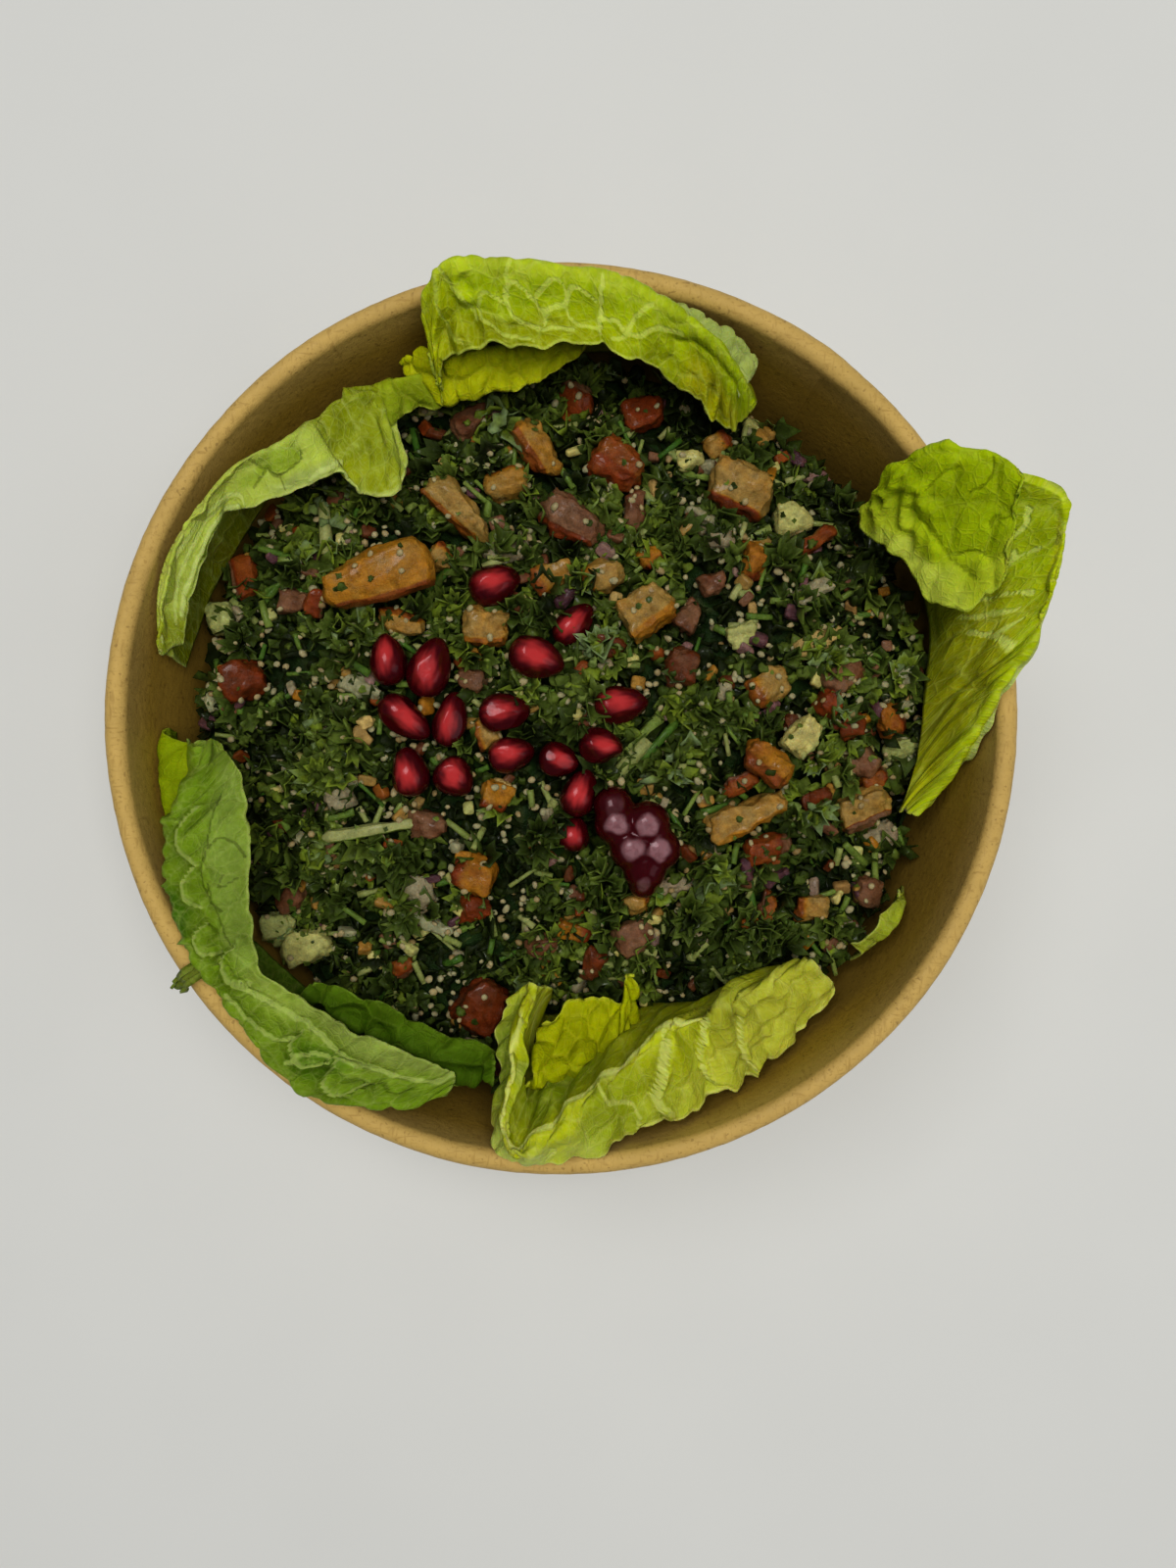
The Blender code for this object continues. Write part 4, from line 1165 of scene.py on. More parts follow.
def side_profile():
    """Cross-section of the side, from the bead's top round outside, foot, fold and inside."""
    tucked = roll_profile(22)
    outer = [(FOOT_RADIUS + WALL_SLOPE * z, z) for z in np.linspace(ROLL_HEIGHT - 2.6, 0.5, 26)]
    foot = [(FOOT_RADIUS - 0.14, 0.14), (FOOT_RADIUS - 0.5, 0)]
    fold = [
        (wall_radius(0) - SKIRT_SLOT - PAPER + 0.3, 0),
        (wall_radius(0.3) - SKIRT_SLOT - PAPER, 0.3),
        (wall_radius(FOLD_HEIGHT) - SKIRT_SLOT - PAPER, FOLD_HEIGHT),
        (wall_radius(FOLD_HEIGHT) - SKIRT_SLOT, FOLD_HEIGHT),
        (wall_radius(PAPER) - SKIRT_SLOT, PAPER),
        (wall_radius(PAPER), PAPER),
    ]
    inner = [(wall_radius(z), z) for z in np.linspace(6, ROLL_HEIGHT - 0.8, 28)]
    inside_bead = []
    for degrees in (178, 165, 150, 135, 120, 105):
        turn = math.radians(degrees)
        across = RIM_RADIUS - ROLL_RADIUS + ROLL_RADIUS * math.cos(turn)
        inside_bead.append((across, ROLL_HEIGHT + ROLL_RADIUS * math.sin(turn)))
    return tucked + outer + foot + fold + inner + inside_bead


def lap_steps(angle):
    """How far the lapped paper stands in, and out, at an angle in degrees, from 0 to 1."""
    inward = smoothstep(SEAM_START - 0.35, SEAM_START, angle) * (1 - smoothstep(SEAM_STOP, SEAM_STOP + 5, angle))
    outward = smoothstep(SEAM_START - 5, SEAM_START, angle) * (1 - smoothstep(SEAM_STOP, SEAM_STOP + 0.35, angle))
    return inward, outward


def make_bowl_side(settings, material):
    bm = turned_mesh("bowl", side_profile(), settings.segments, closed=True)
    for degrees in (SEAM_START - 0.35, SEAM_START, SEAM_STOP, SEAM_STOP + 0.35):
        turn = math.radians(degrees)
        across = Vector((-math.sin(turn), math.cos(turn), 0))
        geometry = bm.verts[:] + bm.edges[:] + bm.faces[:]
        bmesh.ops.bisect_plane(bm, geom=geometry, dist=0.0001 * MM, plane_co=(0, 0, 0), plane_no=across)
    for vert in bm.verts:
        x, y, z = vert.co / MM
        radius, angle = math.hypot(x, y), math.degrees(math.atan2(y, x))
        inward, outward = lap_steps(angle)
        ripple = 0.05 * noise.noise(Vector((x, y, z * 0.3)) / 2.2) + 0.16 * noise.noise(Vector((x, y, z)) / 26)
        if z > ROLL_HEIGHT - 1.8:
            step = 0.22 * max(inward, outward)
            middle = RIM_RADIUS - ROLL_RADIUS
            out = Vector((radius - middle, 0, z - ROLL_HEIGHT)).normalized() * (step + 1.6 * ripple)
            radius, z = radius + out.x, z + out.z
        elif z > FOLD_HEIGHT + 2:
            inner = radius < FOOT_RADIUS - PAPER / 2 + WALL_SLOPE * z
            radius += ripple - (SEAM_STEP * inward if inner else -SEAM_STEP * outward)
        elif radius > FOOT_RADIUS - 0.6 and z > 0.3:
            radius += SEAM_STEP * outward
        turn = math.atan2(y, x)
        vert.co = Vector((radius * math.cos(turn), radius * math.sin(turn), z)) * MM
    make_piece("bowl_paper_side", finish_mesh(bm, "bowl_paper_side"), [material], ["bowl_side"])


def make_bowl_base(settings, material):
    """The base disc with its skirt, faintly pressed inwards where a foot ring runs."""
    top = BASE_HEIGHT + PAPER
    skirt_end = PAPER + GAP
    reach = wall_radius(top) - GAP
    shares = (0, 0.12, 0.3, 0.5, 0.7, 0.84, 0.9, 0.94, 0.97)
    dish = [0, 0, 0, 0, 0, 0, 0.12, 0.28, 0.2]
    upper = [(reach * share, top - drop) for share, drop in zip(shares, dish)]
    lower = [(reach * share, BASE_HEIGHT - drop) for share, drop in zip(shares, dish)][::-1]
    profile = upper + [
        (reach - 0.9, top),
        (reach - 0.3, top - 0.12),
        (wall_radius(top - 0.7) - GAP, top - 0.7),
        (wall_radius(skirt_end) - GAP, skirt_end),
        (wall_radius(skirt_end) - GAP - PAPER, skirt_end),
        (wall_radius(BASE_HEIGHT - 0.5) - GAP - PAPER, BASE_HEIGHT - 0.5),
        (reach - PAPER - 0.8, BASE_HEIGHT),
    ]
    bm = turned_mesh("base", profile + lower, 240, closed=False)
    make_piece("bowl_paper_base", finish_mesh(bm, "bowl_paper_base"), [material], ["bowl_base"])


# ---------------------------------------------------------------- the lettuce leaves


def leaf_look(name):
    """The finish of a leaf by the names of its values."""
    shades, values = LEAF_LOOKS[name]
    look = dict(zip(("foot", "crest", "lip", "vein"), shades))
    look.update(zip(("veins", "cell", "blister", "ruffle", "frill", "pleat", "seed"), values))
    return look


def along_line(shape, line):
    """How far each point of the leaf is from a line in mm, and on which side of it (left is 1)."""
    u, v, x, y = (shape[key] for key in "uvxy")
    rows, columns = u.shape
    steps = 10 * len(line)
    marks = spline(np.array(line, float), np.linspace(0, 1, steps))
    i = np.clip(np.rint(marks[:, 1] * (rows - 1)).astype(int), 0, rows - 1)
    j = np.clip(np.rint(marks[:, 0] * (columns - 1)).astype(int), 0, columns - 1)
    spot_x, spot_y = x[i, j], y[i, j]
    near = np.full(u.shape, 1e9)
    side = np.ones(u.shape)
    for k in range(steps - 1):
        way_x, way_y = spot_x[k + 1] - spot_x[k], spot_y[k + 1] - spot_y[k]
        span = max(way_x**2 + way_y**2, 1e-9)
        share = np.clip(((x - spot_x[k]) * way_x + (y - spot_y[k]) * way_y) / span, 0, 1)
        gap_x, gap_y = x - spot_x[k] - share * way_x, y - spot_y[k] - share * way_y
        gap = np.hypot(gap_x, gap_y)
        closer = gap < near
        near = np.where(closer, gap, near)
        side = np.where(closer, np.sign(way_x * gap_y - way_y * gap_x), side)
    return near, side


def leaf_shape(name, settings):
    """Points of a leaf on a grid, in mm, with the net of its veins: a dictionary of arrays."""
    stations, look = {**LEAVES, **FRILLS}[name], leaf_look(name)
    seed = look["seed"]
    across, along = np.meshgrid(np.linspace(0, 1, 12), np.linspace(0, 1, 40), indexing="ij")
    rough = leaf_points(stations, along.ravel(), across.ravel()).reshape(12, 40, 3)
    grid = settings.grid / MM
    n_along = int(np.linalg.norm(np.diff(rough, axis=1), axis=2).sum(1).mean() / grid)
    n_across = int(np.linalg.norm(np.diff(rough, axis=0), axis=2).sum(0).mean() / grid)
    v, u = np.meshgrid(np.linspace(0, 1, n_across + 1), np.linspace(0, 1, n_along + 1), indexing="ij")
    size_along, size_across = n_along * grid, n_across * grid
    # The outline wanders, more where the leaf is frilled.
    bite = 0.55 * soft_noise(u * size_along / 4.5, v * 0, seed) + 0.3 * soft_noise(u * size_along / 1.7, v * 0, seed + 1)
    v_edge = v - look["frill"] * (0.4 + bite) / size_across * smoothstep(0.75, 1, v)
    end_bite = (1.0 + soft_noise(v * size_across / 5, v * 0, seed + 2)) / size_along
    u_edge = u + end_bite * (1 - smoothstep(0, 0.12, u)) - end_bite * smoothstep(0.88, 1, u)
    points = leaf_points(stations, u_edge.ravel(), v_edge.ravel()).reshape(*u.shape, 3)
    step_along = np.linalg.norm(np.diff(points, axis=1), axis=2)
    step_across = np.linalg.norm(np.diff(points, axis=0), axis=2)
    # Where the leaf stands steeply, its pattern is drawn out along the slope.
    level = np.linalg.norm(np.diff(points[..., :2], axis=0), axis=2).mean(1) / step_across.mean(1)
    step_across = step_across * np.clip(level, 0.4, 1)[:, None]
    x = np.pad(np.cumsum(step_along, axis=1), ((0, 0), (1, 0)))
    x -= x[:, x.shape[1] // 2][:, None]
    y = np.pad(np.cumsum(step_across, axis=0), ((1, 0), (0, 0)))
    y -= y[y.shape[0] // 2][None, :]
    normal = np.cross(np.gradient(points, axis=1), np.gradient(points, axis=0))
    normal /= np.maximum(np.linalg.norm(normal, axis=2, keepdims=True), 1e-9)
    if normal[..., 2].mean() < 0:
        normal = -normal
    shape = {"u": u, "v": v, "x": x, "y": y, "points": points, "normal": normal}
    bend_x = x + 1.6 * soft_noise(x / 7, y / 7, seed + 3)
    bend_y = 0.9 * y + 1.6 * soft_noise(x / 7, y / 7, seed + 4)
    cell = look["cell"] * settings.cells
    shape["wide"] = cells(bend_x, bend_y, cell, seed + 5)
    shape["narrow"] = cells(bend_x, bend_y * 1.2, 0.33 * cell, seed + 6)
    wander_x, wander_y = (0.35 * soft_noise(x / 1.9 + k, y / 1.9, seed + 7) for k in (0, 30))
    nudged = {**shape, "x": x + wander_x, "y": y + wander_y}
    shape["veins"] = [(*row[:3], along_line(nudged, row[3])[0]) for row in VEINS.get(name, ())]
    shape["folds"] = [(*row[:2], *along_line(nudged, row[2])) for row in FOLDS.get(name, ())]
    return shape


def raise_leaf(shape, look, crumples):
    """Puffs the leaf between its veins, folds and pleats it and ruffles its margin."""
    u, v, x, y = (shape[key] for key in "uvxy")
    seed = look["seed"] + 10
    puff = look["blister"] * (smoothstep(0, 0.42 * look["cell"], shape["wide"]) - 0.55)
    puff += 0.14 * look["blister"] * (smoothstep(0, 1.1, shape["narrow"]) - 0.5)
    for place_u, place_v, wide_u, wide_v, height in crumples:
        near = np.exp(-(((u - place_u) / wide_u) ** 2) - ((v - place_v) / wide_v) ** 2)
        fold = 1 - 2 * np.abs(soft_noise(x / 2.9 + 40, y / 2.9, seed + 6))
        puff += height * near * (fold - 0.4)
    puff += 0.7 * soft_noise(x / 13, y / 13, seed)
    puff += 0.3 * soft_noise(x / 4.2, y / 4.2, seed + 1) * look["blister"]
    # A vein is a ridge, or a groove with swollen sides.
    for width, rise, _, gap in shape["veins"]:
        puff += rise * np.exp(-((gap / width) ** 2)) - 0.8 * abs(rise) * np.exp(-((gap / 2.6) ** 2))
    for step, reach, gap, side in shape["folds"]:
        step *= 1.5
        over = np.where(side > 0, np.exp(-gap / reach), -0.5 * np.exp(-gap / 0.8))
        puff += step * over * smoothstep(0, 0.35, gap + 0.2 * (side > 0))
    pleat = look["pleat"] * soft_noise(x / 3.4, y / 26, seed + 2)
    margin = smoothstep(0.70, 1, v)
    ends = np.maximum(1 - smoothstep(0, 0.10, u), smoothstep(0.90, 1, u))
    ruffle = look["ruffle"] * np.maximum(margin, 0.6 * ends)
    waves = soft_noise(x / 3.6, y / 9, seed + 3) + 0.5 * soft_noise(x / 1.9, y / 3, seed + 4)
    rise = puff + pleat * (1 - 0.5 * margin) + 1.5 * ruffle * waves
    # The foot stays where the heap holds it.
    rise *= 0.25 + 0.75 * smoothstep(0, 0.2, v)
    outward = np.gradient(shape["points"], axis=0)
    outward /= np.maximum(np.linalg.norm(outward, axis=2, keepdims=True), 1e-9)
    reach = look["frill"] * smoothstep(0.80, 1, v)
    reach = reach * (0.9 * soft_noise(x / 2.6 + 9, y / 9, seed + 8) + 0.4 * soft_noise(x / 1.3, y / 5, seed + 9))
    return shape["points"] + shape["normal"] * rise[..., None] + outward * reach[..., None]


def leaf_colours(shape, look, patches):
    """Colour of each point, with its veins, the pale line of its margin and a painted shadow under each fold."""
    u, v, x, y = (shape[key] for key in "uvxy")
    seed = look["seed"] + 20
    foot, crest, lip, vein = (np.array(look[key]) for key in ("foot", "crest", "lip", "vein"))
    wander = 0.12 * soft_noise(x / 9, y / 9, seed)
    to_crest = smoothstep(0.12, 0.48, v + wander)[..., None]
    to_lip = smoothstep(0.62, 0.98, v + wander)[..., None]
    shade = foot + (crest - foot) * to_crest
    shade = shade + (lip - shade) * to_lip
    for place_u, place_v, wide_u, wide_v, patch, strength in patches:
        near = np.exp(-(((u - place_u) / wide_u) ** 2) - ((v - place_v) / wide_v) ** 2)
        near = smoothstep(0.15, 0.75, near + 0.25 * soft_noise(x / 3, y / 3, seed + 2))
        shade = shade + (np.array(patch) - shade) * (near * strength)[..., None]
    shade = shade * (1 + 0.14 * soft_noise(x / 5, y / 5, seed + 1))[..., None]
    shade = shade * (1 + 0.10 * soft_noise(x / 1.6, y / 1.6, seed + 3))[..., None]
    main = 1 - smoothstep(0.12, 0.50, shape["wide"])
    side = 1 - smoothstep(0.04, 0.30, shape["narrow"])
    seen = look["veins"] * np.maximum(main, 0.6 * side)
    shade = shade + (vein - shade) * seen[..., None]
    # Painted shadow: each fold's lower side is darkened where the fold above would shade it.
    for _, _, gap, side in shape["folds"]:
        shade = shade * (1 - 0.6 * (side < 0) * np.exp(-gap / 0.8))[..., None]
    rim = np.maximum(smoothstep(0.975, 0.992, v), 0.8 * np.maximum(1 - u / 0.008, (u - 0.992) / 0.008).clip(0))
    shade = shade + (vein * 1.05 - shade) * (0.75 * rim)[..., None]
    return np.clip(shade, 0.001, 0.9)


def leaf_lines(shape, look, shade):
    """Of the nearest single vein or fold: mm beyond its side, its colour and how much it shows."""
    rows = [(0.30 * width + 0.03, pale, gap) for width, _, pale, gap in shape["veins"]]
    rows += [(0.22, 0.85, gap + 9 * (side < 0)) for _, _, gap, side in shape["folds"]]
    beyond = np.full(shape["u"].shape, 9.0)
    show = np.zeros(beyond.shape)
    tone = shade.copy()
    for half, pale, gap in rows:
        closer = gap - half < beyond
        beyond = np.where(closer, gap - half, beyond)
        show = np.where(closer, abs(pale), show)
        # A groove's colour is painted shade: the leaf's own colour darkened where the sunken vein lies in shade.
        tone = np.where(closer[..., None], np.array(look["vein"]) if pale > 0 else shade * 0.12, tone)
    return beyond, tone, show


def make_leaf(name, settings, materials):
    look = leaf_look(name)
    shape = leaf_shape(name, settings)
    rows, columns = shape["u"].shape
    bm = bmesh.new()
    bmesh.ops.create_grid(bm, x_segments=columns - 1, y_segments=rows - 1, size=0.5)
    mesh = finish_mesh(bm, f"{name}_leaf")
    flat = np.empty(len(mesh.vertices) * 3, np.float32)
    mesh.vertices.foreach_get("co", flat)
    flat = flat.reshape(-1, 3) + 0.5
    column = np.rint(flat[:, 0] * (columns - 1)).astype(int)
    row = np.rint(flat[:, 1] * (rows - 1)).astype(int)
    points = raise_leaf(shape, look, CRUMPLES.get(name, ()))[row, column] * MM
    mesh.vertices.foreach_set("co", points.astype(np.float32).ravel())
    shade = leaf_colours(shape, look, PATCHES.get(name, ()))
    beyond, tone, show = leaf_lines(shape, look, shade)
    add_point_colours(mesh, "leaf_colour", shade[row, column])
    add_point_colours(mesh, "line_colour", tone[row, column])
    add_point_values(mesh, "line_beyond", beyond[row, column])
    add_point_values(mesh, "line_show", show[row, column])
    add_point_colours(mesh, "vein_colour", np.tile(look["vein"], (len(points), 1)))
    add_point_values(mesh, "vein_show", np.full(len(points), look["veins"]))
    corners = np.empty(len(mesh.loops), np.int32)
    mesh.loops.foreach_get("vertex_index", corners)
    chart = np.stack([shape["x"], shape["y"]], axis=-1)[row, column] * 0.01
    layer = mesh.uv_layers.new(name="leaf")
    layer.uv.foreach_set("vector", chart[corners].astype(np.float32).ravel())
    mesh.update()
    piece = make_piece(f"{name}_lettuce", mesh, materials, [name] if name in LEAVES else ())
    solidify = piece.modifiers.new("Thickness", "SOLIDIFY")
    solidify.thickness = settings.thickness
    solidify.offset = 0
    solidify.material_offset = 1
    return piece


# ---------------------------------------------------------------- seeds and cut vegetables


def rest_on_heap(bm, x, y, lift, turn, tilt=0.0):
    """Tilts and turns the shape, and sets it lift above the heap's top at x, y."""
    rotation = Matrix.Rotation(math.radians(turn), 4, "Z") @ Matrix.Rotation(math.radians(tilt), 4, "X")
    place = Vector((x, y, heap_height(x, y) + lift)) * MM
    bmesh.ops.transform(bm, matrix=Matrix.Translation(place) @ rotation, verts=bm.verts)


def flatten_facets(bm, rng, facets, depth):
    """Presses soft flats into a unit ball, as seeds press into each other."""
    for _ in range(facets):
        way = Vector([rng.gauss(0, 1) for _ in "xyz"])
        way.x *= 0.45
        way.normalize()
        limit = 1 - rng.uniform(0.4, 1) * depth
        for vert in bm.verts:
            over = vert.co.dot(way) - limit
            if over > 0:
                vert.co -= way * over * 0.85


def make_seed(number, row, material):
    """A pomegranate seed: an egg pressed into soft facets, lit along the top of its axis."""
    x, y, length_mm, width, turn, lift = row
    rng = random.Random(100 + number)
    bm = bmesh.new()
    bmesh.ops.create_icosphere(bm, subdivisions=5, radius=1)
    flatten_facets(bm, rng, 7, 0.16)
    shift, skew, wide = rng.uniform(-0.15, 0.15), rng.uniform(-0.25, 0.25), rng.uniform(0.46, 0.62)
    glow = []
    bm.verts.ensure_lookup_table()
    for vert in bm.verts:
        px, py, pz = vert.co
        reach = math.hypot((py - skew * px - 0.08) / wide, (px - shift) / 0.66)
        reach += 0.30 * noise.noise(Vector((px, 2.2 * py, number)) * 2.6)
        glow.append(float(smoothstep(1.30, 0.20, reach)) * min(1, max(0, 0.1 + pz * 1.4)))
        taper = 1 - SEED_TAPER * px
        vert.co.x *= length_mm / 2 * 0.99
        vert.co.y *= (width / 2) * taper * 1.03
        vert.co.z *= (width / 2) * 0.96 * taper
        vert.co *= MM
    rest_on_heap(bm, x, y, lift, turn)
    name = f"seed_{number:02d}"
    mesh = finish_mesh(bm, f"{name}_aril")
    add_point_values(mesh, "glow", glow)
    make_piece(f"{name}_aril", mesh, [material], [name])


def make_clump(material):
    """Seeds still held together: lobes that run into each other, four of them with a painted reflection on top."""
    bm = bmesh.new()
    for x, y, up, radius, _ in CLUMP_LOBES:
        lobe = bmesh.ops.create_icosphere(bm, subdivisions=4, radius=radius * MM)["verts"]
        bmesh.ops.translate(bm, vec=Vector((x, y, up)) * MM, verts=lobe)
    blank = bpy.data.objects.new("clump_draft", finish_mesh(bm, "clump_draft"))
    bpy.context.scene.collection.objects.link(blank)
    remesh = blank.modifiers.new("Join", "REMESH")
    remesh.mode = "VOXEL"
    remesh.voxel_size = 0.26 * MM
    smooth = blank.modifiers.new("Smooth", "SMOOTH")
    smooth.factor = 0.5
    smooth.iterations = 34
    graph = bpy.context.evaluated_depsgraph_get()
    joined = bpy.data.meshes.new_from_object(blank.evaluated_get(graph))
    bpy.data.objects.remove(blank)
    bm = bmesh.new()
    bm.from_mesh(joined)
    bpy.data.meshes.remove(joined)
    glow = []
    # Painted reflection: pale patches on the tops of the lobes.
    for vert in bm.verts:
        spot = vert.co / MM
        best = 0
        for number, (x, y, up, radius, pale) in enumerate(CLUMP_LOBES):
            flat = math.hypot(spot.x - x, spot.y - y) / (radius * 0.44)
            wobble = 0.35 * noise.noise(spot / 1.6 + Vector((number * 7, 0, 0)))
            if spot.z > up:
                best = max(best, pale * float(smoothstep(1.30, 0.70, flat + wobble)))
        glow.append(best)
    rest_on_heap(bm, *CLUMP_PLACE, CLUMP_LIFT, 0)
    mesh = finish_mesh(bm, "seed_clump_arils")
    add_point_values(mesh, "glow", glow)
    make_piece("seed_clump_arils", mesh, [material], ["seed_clump"])


def rough_block(size, taper, rng, cuts, round_off, lumps):
    """A cut piece: a block with many faces, softened, narrower at one end and lumpy. Sizes in mm.

    Gives the mesh and, for each point, its place in the block from -1 to 1.
    """
    bm = bmesh.new()
    bmesh.ops.create_cube(bm, size=1)
    bmesh.ops.subdivide_edges(bm, edges=bm.edges[:], cuts=cuts, use_grid_fill=True)
    shift = Vector([rng.uniform(-50, 50) for _ in "xyz"])
    signs = [Vector((i, j, k)) for i in (-1, 1) for j in (-1, 1) for k in (-1, 1)]
    corners = [(sign, Vector([rng.uniform(-0.26, 0.16) * s for s in sign])) for sign in signs]
    places = []
    for vert in bm.verts:
        place = vert.co * 2
        places.append(tuple(place))
        ball = place.normalized() * 1.12
        soft = place.lerp(ball, round_off)
        for sign, pull in corners:
            share = math.prod((1 + a * b) / 2 for a, b in zip(sign, place))
            soft += pull * share
        narrow = 1 - taper * (vert.co.x + 0.5) - 0.12 * (vert.co.z + 0.5)
        spot = Vector((soft.x * size[0] / 2, soft.y * size[1] / 2 * narrow, soft.z * size[2] / 2))
        way = place.normalized()
        spot += way * lumps * 1.3 * noise.noise((spot + shift) / 2.6)
        spot += way * lumps * 0.7 * noise.noise((spot + shift) / 1.0)
        vert.co = spot * MM
    bmesh.ops.recalc_face_normals(bm, faces=bm.faces)
    return bm, np.array(places)


# What tint the flesh and the skin side of each larger piece has, and how thick its skin looks
# (below nought where the skin is on the far side).
CHUNK_TINTS = {
    "tomato_wedge": (0.20, 0.50, -0.12),
    "tomato_skin_piece": (0.50, 0.62, 0.50),
    "tomato_strip": (0.12, 0.45, 0.30),
    "tomato_block": (0.02, 0.80, 0.18),
    "tomato_dice_a": (0.98, 0.72, 0.20),
    "tomato_dice_b": (0.04, 0.36, 0.22),
    "tomato_dice_c": (0.02, 0.25, 0.20),
    "tomato_dice_d": (0.30, 0.46, 0.40),
    "tomato_slice": (0.05, 0.20, 0.10),
    "tomato_dice_e": (0.02, 0.98, 0.20),
    "tomato_dice_f": (0.74, 0.70, 0.40),
    "tomato_long": (0.0, 0.40, 0.20),
    "cucumber_dice": (0.02, 0.5, 0.10),
    "parsley_stem": (0.02, 0.5, 0.10),
}


# How round and how lumpy a larger piece is, where it isn't as most are.
CHUNK_SOFTNESS = {"tomato_wedge": (0.62, 0.40), "parsley_stem": (0.42, 0.25)}


def make_chunk(name, row, materials):
    x, y, size, turn, tilt, lift, taper, finish = row
    rng = random.Random(name)
    bm, places = rough_block(size, taper, rng, 13, *CHUNK_SOFTNESS.get(name, (0.46, 0.75)))
    rest_on_heap(bm, x, y, lift, turn, tilt)
    mesh = finish_mesh(bm, f"{name}_cut")
    flesh, skin, depth = CHUNK_TINTS[name]
    inner = 1 - 2 * abs(depth)
    side = smoothstep(inner, inner + 0.12, -places[:, 1] * math.copysign(1, depth))
    add_point_values(mesh, "tint", flesh + (skin - flesh) * side)
    make_piece(f"{name}_cut", mesh, [materials[finish]], [name])


# ---------------------------------------------------------------- the heap and what lies on it

CORE_DROP = 2.4
HEAP_REACH = 65.0
# Smaller cut pieces, listed one by one: x, y, length, width, turn, tint.
TOMATO_BITS = (
    (-9.6, 42.0, 8.5, 6.0, 20, 0.08),
    (-16.2, 53.6, 7.0, 6.0, 30, 0.92),
    (2.7, 58.0, 6.0, 8.5, 5, 0.55),
    (14.1, 55.0, 8.0, 7.5, 15, 0.62),
    (12.3, 37.4, 3.8, 8.0, -5, 0.92),
    (27.5, 49.7, 5.0, 4.6, 30, 0.10),
    (43.7, 32.0, 8.6, 3.6, 35, 0.52),
    (33.2, 27.6, 4.0, 9.5, -12, 0.30),
    (15.5, 29.1, 4.4, 3.8, 40, 0.30),
    (7.0, 25.4, 6.8, 6.6, 12, 0.03),
    (-1.6, 25.6, 7.2, 5.2, 25, 0.08),
    (21.8, 18.4, 5.6, 4.6, 60, 0.95),
    (-57.0, 26.4, 4.2, 9.0, 10, 0.55),
    (-56.6, 7.8, 7.4, 7.6, 20, 0.72),
    (-46.9, 21.0, 5.6, 5.0, 0, 0.95),
    (-42.6, 20.4, 5.4, 4.2, 70, 0.56),
    (-27.6, 17.4, 8.6, 4.6, -14, 0.05),
    (-23.4, -17.6, 7.4, 5.0, 0, 0.96),
    (-15.4, -26.4, 6.8, 7.8, -20, 0.30),
    (-15.4, -32.6, 5.8, 4.8, 0, 0.66),
    (-28.6, -43.2, 4.4, 3.8, 20, 0.48),
    (-49.5, -31.2, 6.0, 5.0, 40, 0.90),
    (-15.6, 7.2, 5.4, 5.6, 10, 0.98),
    (-13.0, -2.0, 3.8, 6.4, 10, 0.02),
    (-11.6, -12.6, 5.2, 6.0, -20, 0.20),
    (30.6, -10.6, 6.2, 3.4, 25, 0.52),
    (36.0, -22.0, 8.2, 5.4, 15, 0.54),
    (44.4, -13.6, 5.0, 6.0, 20, 0.78),
    (52.6, -6.6, 6.8, 6.0, -30, 0.98),
    (55.4, -9.6, 4.8, 4.8, 20, 0.46),
    (58.2, 0.4, 4.6, 8.0, 14, 0.38),
    (36.0, 6.2, 7.4, 6.0, 30, 0.02),
    (48.6, 8.1, 7.8, 5.6, 30, 0.94),
    (46.6, 3.6, 4.6, 5.0, 60, 0.66),
    (36.0, -32.0, 3.2, 6.4, -12, 0.44),
    (33.6, -34.6, 6.0, 2.8, 14, 0.46),
    (44.0, -32.6, 6.0, 4.8, 0, 0.03),
    (54.6, -30.2, 4.6, 7.0, -10, 0.96),
    (13.0, -31.4, 5.0, 4.0, 20, 0.06),
    (12.4, -37.4, 7.0, 6.2, 30, 0.96),
    (1.4, -36.6, 6.8, 4.2, -10, 0.30),
    (5.4, -42.4, 4.0, 7.4, -18, 0.76),
    (-3.6, -39.4, 5.4, 5.0, 40, 0.92),
    (8.4, 13.2, 6.6, 4.6, 0, 0.80),
    (20.6, 9.4, 5.0, 8.6, -14, 0.84),
    (26.0, 24.4, 5.2, 4.4, 20, 0.90),
    (-21.0, 29.0, 4.6, 5.8, -30, 0.06),
    (40.6, -1.0, 3.2, 6.4, 20, 0.86),
    (50.4, -0.4, 4.4, 6.2, 0, 0.76),
)
ONION_BITS = (
    (25.3, 36.0, 7.0, 2.6, -35, 0.15),
    (-34.8, 6.0, 8.6, 4.4, -25, 0.05),
    (-62.6, 3.8, 2.2, 5.0, 10, 0.0),
    (-25.6, -29.6, 5.6, 8.6, 20, 0.30),
    (-23.5, -35.5, 7.4, 2.6, -20, 0.0),
    (-44.3, -15.0, 4.6, 1.8, 30, 0.90),
    (0.8, 21.6, 4.4, 2.2, 40, 0.95),
    (41.5, 48.6, 5.0, 2.2, -40, 0.95),
    (32.1, -25.6, 1.8, 5.0, 14, 0.92),
    (37.2, -27.4, 5.4, 1.9, 42, 0.95),
    (35.2, 1.4, 6.0, 2.2, 40, 0.78),
    (58.0, -20.1, 6.4, 5.4, 30, 0.35),
    (46.4, 44.0, 5.8, 3.0, -30, 0.60),
    (-8.6, 30.0, 5.0, 4.0, 20, 0.30),
    (27.4, 32.0, 5.0, 4.0, 0, 0.35),
    (43.0, 22.6, 6.6, 3.6, 30, 0.25),
    (-39.0, -13.0, 5.4, 4.6, 20, 0.30),
    (61.0, 8.4, 4.0, 4.8, 0, 0.10),
    (19.6, -28.6, 5.6, 3.2, 10, 0.40),
    (51.4, -36.4, 5.0, 3.4, -30, 0.35),
)
